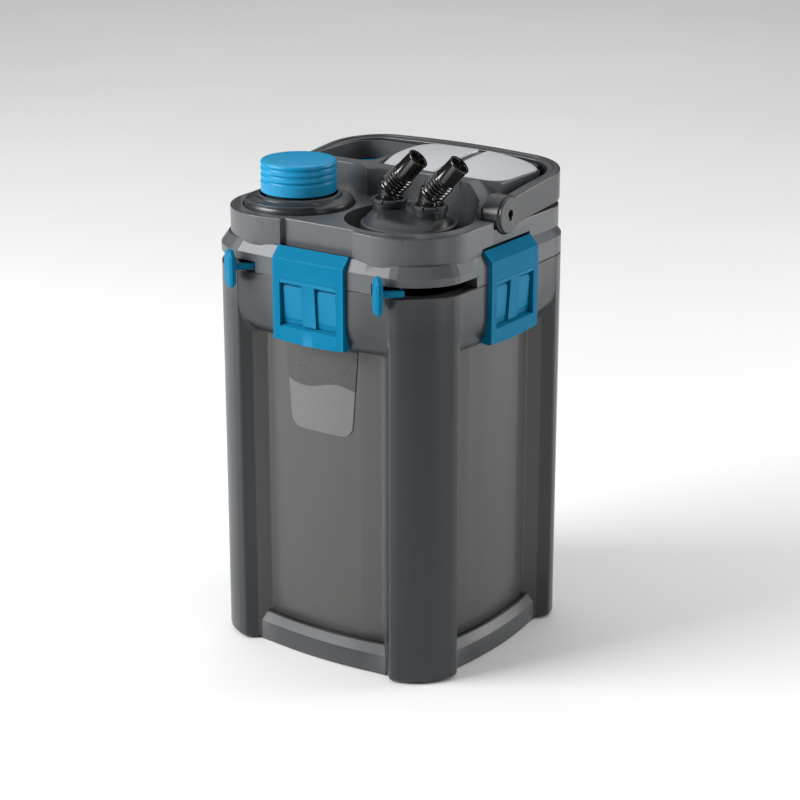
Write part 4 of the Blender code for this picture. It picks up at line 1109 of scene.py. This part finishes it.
def latch_plate(out):
    """Lever seen from the side: flat face, chamfered head that wraps over the band's chamfer."""
    face = -LATCH_PROUD
    low_z = low("latch_front").z
    top_z = high("latch_front").z
    back = 0.0003
    section = fillet([(face, low_z), (face, 0.3535), (0.0033, top_z), (0.0068, top_z - 0.0018),
                      (0.0068, 0.353), (back, 0.35), (back, low_z)],
                     [0.0006, 0.0009, 0.0008, 0.0006, 0.001, 0.001, 0.0006], 3)
    rings = []
    stations = 24
    for k in range(stations + 1):
        x = LATCH_HALF * (2 * k / stations - 1)
        droop = 0.0016 * (1 - (2 * k / stations - 1) ** 2)
        ring = []
        for depth, z in section:
            share = max(0.0, min(1.0, (0.3 - z) / (0.3 - low_z)))
            ring.append((x, -out + depth, z - droop * share + 0.0016 * share))
        rings.append(ring)
    plate = loft("plate", rings)
    for sign in (-1, 1):
        cheek = fillet([(-out + 0.0004, 0.346), (-out + 0.0004, 0.306), (-out + 0.0016, 0.296),
                        (-out + 0.0062, low_z + 0.002), (-out - 0.003, low_z + 0.0008),
                        (-out - 0.003, 0.346)], 0.0006, 3)
        ends = (sign * LATCH_HALF, sign * (LATCH_HALF - 0.0042))
        weld(plate, loft("cheek", [[(x, y, z) for y, z in cheek] for x in ends]))
    rings = []
    for y in (-out - 0.02, -out + 0.004):
        sill = WINDOW_LOW_Z + SILL_RISE / LATCH_PROUD * (y + out + LATCH_PROUD)
        rings.append([(-WINDOW_HALF, y, sill), (WINDOW_HALF, y, sill), (WINDOW_HALF, y, WINDOW_TOP_Z),
                      (-WINDOW_HALF, y, WINDOW_TOP_Z)])
    return carve(plate, loft("window", rings))


def latch_insert(out):
    """Thumb insert: a T that slopes inwards from its flush top, and two deeper tabs beside its stem."""
    top = WINDOW_TOP_Z - 0.0003
    bottom = WINDOW_LOW_Z + SILL_RISE + 0.0006
    half = WINDOW_HALF - 0.0003

    def slope(z):
        return 0.0024 * (top - z) / (top - bottom)

    def tab_y(z):
        return -out - LATCH_PROUD + 0.002 + slope(z)

    def plate(name, outline, back):
        face = [(x, -out - LATCH_PROUD + slope(z), z) for x, z in outline]
        rear = [(x, -out + back, z) for x, z in outline]
        return loft(name, [face, rear])

    stem = 0.0066
    bar = 0.0032
    shape = [(-half, top - bar), (-stem, top - bar), (-stem, bottom), (stem, bottom), (stem, top - bar),
             (half, top - bar), (half, top), (-half, top)]
    made = plate("insert", shape, 0.0)
    backing = plate("backing", [(-half, bottom), (half, bottom), (half, top), (-half, top)], 0.0001)
    for vert in backing.data.vertices:
        if vert.co.y < -out - 0.0001:
            vert.co.y = -out - 0.0006
    weld(made, backing)
    for sign in (-1, 1):
        inner = sign * (stem + 0.0016)
        outer = sign * (half - 0.0019)
        high_z, low_z = top - bar - 0.0026, bottom + 0.0048
        chamfer = 0.0024
        rear_y = -out - 0.0001
        side = [(tab_y(low_z), low_z), (tab_y(high_z - chamfer), high_z - chamfer),
                (tab_y(high_z) + 0.0016, high_z), (rear_y, high_z), (rear_y, low_z)]
        rings = [[(x, y, z) for y, z in side] for x in sorted((inner, outer))]
        weld(made, loft("tab", rings))
    return soften(made, 0.00045, 2, 35)


def latches():
    for quarter, side in enumerate(SIDES):
        out = halves(quarter)[1]
        turn = turn_to(quarter)
        plate = soften(latch_plate(out), 0.0005, 2, 35)
        insert = latch_insert(out)
        plate.name = "lever_" + side
        insert.name = "thumb_insert_" + side
        for made, node in ((plate, "latch_" + side), (insert, "latch_catch_" + side)):
            made.data.transform(turn)
            dress(made, "blue_plastic", "latch_" + side, node)


# ---- prefilter head and primer
def prefilter_disc():
    """Stepped disc with a ring groove for the button, and the barrel below it."""
    edge = [(0.025, 0.402), (0.0275, 0.402), (0.0275, 0.3765), (0.0326, 0.3765), (0.0326, 0.3918),
            (0.0331, 0.3925), (0.0345, 0.3925), (0.0356, 0.3918), (0.0362, 0.3906)]
    dome = [(0.0362 + 0.0088 * t, 0.3902 - 0.0024 * t * t - 0.0004 * t) for t in (0.05, 0.3, 0.6, 0.85, 1.0)]
    skirt = [(0.0455, 0.3866), (0.0461, 0.3855), (0.0462, 0.3843), (0.0462, 0.3802), (0.0412, 0.3802),
             (0.0412, 0.348), (0.025, 0.348)]
    disc = turned("prefilter_disc", edge + dome + skirt, PREFILTER, 128, 28)
    floor = [(0.0035, 0.356), (0.026, 0.356), (0.026, 0.349), (0.0035, 0.349)]
    ledge = arc(PREFILTER, 0.0452, -128, -36, 30) + arc(PREFILTER, 0.0402, -36, -128, 30)
    weld(disc, turned("floor", floor, PREFILTER), slab("ledge", ledge, 0.386, 0.3893, 0.0006))
    soften(disc, 0.0003, 2, 35)
    return dress(disc, "dark_plastic", "prefilter", "prefilter_head")


def primer_button():
    """Push button with three soft grooves near the top and a slightly domed face."""
    node = "primer_cap"
    top, bottom = high(node).z, low(node).z
    radius = (high(node).x - low(node).x) / 2
    dome = 0.0008
    profile = [(radius * share, top - dome * share * share) for share in (0, 0.2, 0.4, 0.6, 0.8, 0.93)]
    for downwards, outwards in quarter_round(4)[1:]:
        profile.append((radius - 0.0018 * (1 - outwards), top - dome - 0.0022 * downwards))
    for depth in (0.0052, 0.0108, 0.0164):
        for k in range(-4, 5):
            bend = 0.0011 * math.cos(math.pi / 2 * k / 4)
            profile.append((radius - bend, top - depth - 0.00045 * k))
    profile += [(radius, top - 0.021), (radius, bottom + 0.0008), (radius - 0.0008, bottom), (0.0284, bottom),
                (0.0284, 0.4175), (0, 0.4175)]
    button = turned("primer_button", profile, PREFILTER, 128, 28)
    return dress(button, "blue_plastic", "primer", node, look=BUTTON)


def return_spring():
    """The primer's spring, copied from its node into a mesh of its own."""
    made = copied("primer_spring", "return_spring")
    dress(made, "steel", "prefilter", "primer_spring")
    bpy.context.view_layer.update()
    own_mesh(made)


# ---- hose adaptor
def adaptor_dome():
    """Saddle-shaped dome: a turned body whose top swells up to each of the two sockets."""
    profile = [(0.04, 0.3796), (0.0394, 0.3802), (0.038, 0.3804), (0.0372, 0.381), (0.036, 0.3824),
               (0.033, 0.3842), (0.029, 0.3856), (0.025, 0.3864), (0.021, 0.3868), (0.017, 0.387),
               (0.012, 0.3872), (0.007, 0.3872), (0.003, 0.3872)]
    steps = 128
    barrel = [(0.0285, 0.3475), (0.0285, 0.3681), (0.037, 0.3681), (0.04, 0.376)]
    rings = [at_height(circle(ADAPTOR, r, steps), z) for r, z in barrel]
    for r, z in profile:
        ring = []
        for x, y in circle(ADAPTOR, r, steps):
            lift = 0.0
            for spot in NOZZLES.values():
                distance = (Vector((x, y)) - spot).length
                lift = max(lift, 0.0044 * math.exp(-(distance / 0.0165) ** 4))
            if r > 0.0365:
                lift = 0.0
            ring.append((x, y, z + lift))
        rings.append(ring)
    dome = loft("adaptor_dome", rings, smooth_degrees=45)
    socket = [(0, 0.3922), (0.0132, 0.3922), (0.0137, 0.3916), (0.0137, 0.38), (0, 0.38)]
    for spot in NOZZLES.values():
        weld(dome, turned("socket", socket, spot))
    for spot in NOZZLES.values():
        carve(dome, slab("seat", circle(spot, 0.0103, 64), 0.388, OPEN_TOP_Z),
              slab("port", circle(spot, 0.0068, 48), HEAD_LOW_Z, OPEN_TOP_Z))
    soften(dome, 0.0003, 2, 38)
    return dress(dome, "dark_plastic", "adaptor", "adaptor_body")


NOTCHES = 8                                 # round the top of a union nut


def union_nuts():
    """Slotted collars that hold the nozzles."""
    for side, spot in NOZZLES.items():
        node = "union_nut_" + side
        top, bottom = high(node).z, low(node).z
        profile = [(0.0112, top - 0.0012), (0.012, top), (0.0142, top), (0.015, top - 0.0007),
                   (0.015, bottom + 0.0024), (0.0146, bottom + 0.002), (0.0146, bottom), (0.0112, bottom)]
        nut = turned("nut_" + side, profile, spot, 72)
        for i in range(NOTCHES):
            notch = block("notch", (0.01, -0.0007, top - 0.0026), (0.02, 0.0007, top + 0.01))
            turn = Matrix.Rotation(2 * math.pi / NOTCHES * (i + 0.3), 4, "Z")
            place = Matrix.Translation((spot.x, spot.y, 0)) @ turn
            notch.data.transform(place)
            carve(nut, notch)
        soften(nut, 0.0002, 2, 35)
        dress(nut, "dark_plastic", "nut_" + side, node)


LEAN = math.radians(43)                     # how far a hose tube leans from upright
YAW = math.radians(10)                      # and which way, from +X
BEND_Z = 0.4045
REACH = 0.0385                              # bend to the open end
BORE_R = 0.0066


def nozzle_stations(spot):
    """(centre, direction, radius) along the nozzle: stub, round elbow with ribs, plain hose tube."""
    up = Vector((0, 0, 1))
    lean = Vector((math.sin(LEAN) * math.cos(YAW), math.sin(LEAN) * math.sin(YAW), math.cos(LEAN)))
    corner = Vector((spot.x, spot.y, BEND_Z))
    bottom = 0.3884
    tangent = 0.005
    ribs_end = 0.0175
    stations = []
    for z in (bottom, bottom + 0.0004, 0.3925, 0.3965, BEND_Z - tangent):
        stations.append((Vector((spot.x, spot.y, z)), up, 0.0098 if z > bottom else 0.0095))
    start = corner - up * tangent
    end = corner + lean * tangent
    elbow = 12
    for k in range(1, elbow + 1):
        t = k / elbow
        centre = start * (1 - t) ** 2 + corner * 2 * t * (1 - t) + end * t * t
        direction = up.lerp(lean, t).normalized()
        rib = 0.0007 * (1 - math.cos(2 * math.pi * 2 * t)) if t > 0.5 else 0.0
        stations.append((centre, direction, 0.0094 + rib))
    ribs = 4
    per_rib = 8
    for k in range(1, ribs * per_rib + 1):
        along = tangent + (ribs_end - tangent) * k / (ribs * per_rib)
        wave = 0.5 * (1 - math.cos(2 * math.pi * k / per_rib))
        stations.append((corner + lean * along, lean, 0.009 + 0.0017 * wave ** 0.7))
    for along, radius in ((ribs_end + 0.0006, 0.0099), (ribs_end + 0.0016, 0.0099),
                          (ribs_end + 0.0022, 0.0091), (REACH - 0.002, 0.0089), (REACH - 0.0012, 0.0092),
                          (REACH - 0.0004, 0.0092), (REACH, 0.0089), (REACH, 0.0074),
                          (REACH - 0.0008, 0.0069), (tangent, BORE_R)):
        stations.append((corner + lean * along, lean, radius))
    halfway = (up + lean).normalized()
    stations.append((corner + (lean - up) * 0.0012, halfway, BORE_R))
    stations.append((corner - up * tangent, up, BORE_R))
    stations.append((Vector((spot.x, spot.y, bottom)), up, BORE_R))
    return stations


def ring_round(centre, direction, radius, sides=56):
    across = Vector((0, 1, 0))
    first = (across - direction * across.dot(direction)).normalized()
    second = direction.cross(first).normalized()
    return [tuple(centre + (first * x + second * y) * radius) for x, y in circle((0, 0), 1, sides)]


def nozzles():
    for side, spot in NOZZLES.items():
        rings = [ring_round(*station) for station in nozzle_stations(spot)]
        tube = loft("hose_nozzle_" + side, rings, closed=True, smooth_degrees=50)
        dress(tube, "black_plastic", "nozzle_" + side, "nozzle_" + side)


# ---- lock levers
def heading(degrees):
    angle = math.radians(degrees)
    return Vector((math.cos(angle), math.sin(angle)))


def grip_plate(tip, facing):
    """Upright oval finger plate with a raised middle and a soft rim."""
    tall = 0.016
    wide = 0.0078
    corner = 0.0048
    side = Vector((-facing.y, facing.x))
    plate = [(wide, -tall + corner), (wide, tall - corner), (wide - corner, tall), (corner - wide, tall),
             (-wide, tall - corner), (-wide, corner - tall), (corner - wide, -tall), (wide - corner, -tall)]
    plate = fillet(plate, 0.0016, 3)
    rings = []
    steps = ((-0.0016, 0.0018), (-0.0011, 0.0006), (-0.0004, 0.0), (0.0024, 0.0), (0.0042, 0.0022))
    for depth, shrink in steps:
        spots = [(tip - facing * depth + side * across, up) for across, up in inset(plate, shrink)]
        rings.append([(spot.x, spot.y, LEVER_Z - 0.001 + up) for spot, up in spots])
    return loft("grip", rings, smooth_degrees=25)


def lock_lever(body, axis, ring_in, ring_out, tip, lean, grip_turn):
    """Ring round a well with an arm and a finger plate at tip. The angles are in degrees."""
    node = body + "_lever"
    thick = 0.0046
    bottom, top = LEVER_Z - thick / 2, LEVER_Z + thick / 2
    edge = 0.0005
    profile = [(ring_in, top), (ring_out - edge, top), (ring_out, top - edge), (ring_out, bottom),
               (ring_in, bottom)]
    lever = turned(node + "_ring", profile, axis, 96)
    inward = heading(lean)
    across = Vector((-inward.y, inward.x)) * 0.0026
    root = axis + (tip - axis).normalized() * (ring_out - 0.002)
    elbow = tip + inward * 0.02
    arm = [tip + across, tip - across, elbow - across, root - across, root + across, elbow + across]
    weld(lever, slab("arm", [tuple(point) for point in arm], bottom, top))
    weld(lever, grip_plate(tip, heading(lean + grip_turn)))
    soften(lever, 0.0004, 2, 35)
    return dress(lever, "blue_plastic", body, node)


def lock_levers():
    lock_lever("adaptor_lock", ADAPTOR, 0.0302, 0.037, Vector((0.0748, -0.1254)), 50, 0)
    lock_lever("prefilter_lock", PREFILTER, 0.0419, 0.0454, Vector((-0.0734, -0.1265)), 52, 8)


# ---- soft filter media
def roughened(made, depth, spacing, seed):
    """Push the points of a remeshed piece in and out, as torn foam."""
    remesh = made.modifiers.new("grain", "REMESH")
    remesh.mode = "VOXEL"
    remesh.voxel_size = spacing
    baked(made)
    shuffled = random.Random(seed)
    for vert in made.data.vertices:
        vert.co -= vert.normal * depth * shuffled.random()
    made.data.shade_smooth()
    return made


def media():
    """Foam and ceramic fillings, each inside the room of its plain solid."""
    for seed, node in enumerate(("coarse_foam", "fine_foam", "bio_media")):
        made = copied(node, node + "_block")
        roughened(made, 0.0011, 0.0036, seed)
        dress(made, frame_slot(node), "canister", node)
    sleeve = copied("prefilter_foam", "prefilter_sleeve")
    roughened(sleeve, 0.0009, 0.0026, 7)
    dress(sleeve, "orange_foam", "prefilter", "prefilter_foam")


def frame_slot(node):
    """The material slot that the record gives a node."""
    found = [s for s in frame["record"]["subparts"] if s["node"] == node]
    return found[0]["material_slot"]


# ---- nodes kept from the frame
def kept_nodes():
    """The same looks on the CAD nodes that the scene carries over, such as the parts inside."""
    for name, node in frame["nodes"].items():
        node.data.materials.clear()
        node.data.materials.append(LOOKS[frame_slot(name)])


# ---- stage, light and camera
def area_light(name, place, aim, size, power, colour=(1, 1, 1)):
    data = bpy.data.lights.new(name, "AREA")
    data.shape = "RECTANGLE"
    data.size, data.size_y = size
    data.energy = power
    data.color = colour
    made = bpy.data.objects.new(name, data)
    bpy.context.scene.collection.objects.link(made)
    made.location = place
    made.rotation_euler = (Vector(aim) - Vector(place)).to_track_quat("-Z", "Y").to_euler()
    return made


def dome_light(tree, at_horizon, overhead):
    """Sky that is dim at the horizon and bright overhead, as in a tented studio."""
    level = spread(tree, axes_of(tree, "Generated")["Z"], at_horizon, overhead, 0.0, 0.8)
    tree.links.new(level, tree.nodes["Background"].inputs["Strength"])


def stage_and_light():
    """Pale floor, a dim dome, a key from the left, two weaker lights on the right and one overhead."""
    floor_half = 6.0
    work = bmesh.new()
    bmesh.ops.create_grid(work, x_segments=2, y_segments=2, size=floor_half)
    floor = put("floor", work)
    floor.location.z = min(0.0, CAD_LOW.z) - 0.0003
    floor.data.materials.append(pale_floor("floor"))
    world = bpy.data.worlds.new("studio")
    bpy.context.scene.world = world
    world.use_nodes = True
    dome_light(world.node_tree, 0.26, 0.85)
    aim = (0, 0, 0.22)
    area_light("key_left", (-1.35, -1.65, 1.3), aim, (1.4, 1.3), 80)
    area_light("side_right", (1.45, 1.45, 0.7), aim, (0.9, 1.2), 22)
    area_light("strip_right", (1.75, -0.25, 0.55), aim, (0.16, 1.2), 4)
    area_light("overhead", (-1.2, 2.0, 3.4), (-1.2, 2.0, 0), (7.0, 7.0), 165)


CAMERA_AT = (1.0628, -1.5179, 0.8328)
CAMERA_DOWN = 18.752                        # degrees below level
CAMERA_TURN = 34.804                        # degrees round from looking along +Y
LENS_MM = 101.3


def camera():
    data = bpy.data.cameras.new("camera")
    data.lens = LENS_MM
    data.sensor_width = 36
    made = bpy.data.objects.new("camera", data)
    bpy.context.scene.collection.objects.link(made)
    made.location = CAMERA_AT
    made.rotation_euler = (math.radians(90 - CAMERA_DOWN), 0, math.radians(CAMERA_TURN))
    bpy.context.scene.camera = made
    bpy.context.scene.view_settings.view_transform = "Standard"


def build():
    camera()
    stage_and_light()
    kept_nodes()
    canister()
    base_tray()
    foot_pads()
    label_plate()
    head_shell()
    rim_marks()
    pump_covers()
    port_cap()
    gland()
    handle()
    handle_pins()
    latches()
    prefilter_disc()
    primer_button()
    return_spring()
    adaptor_dome()
    union_nuts()
    nozzles()
    lock_levers()
    media()


build()
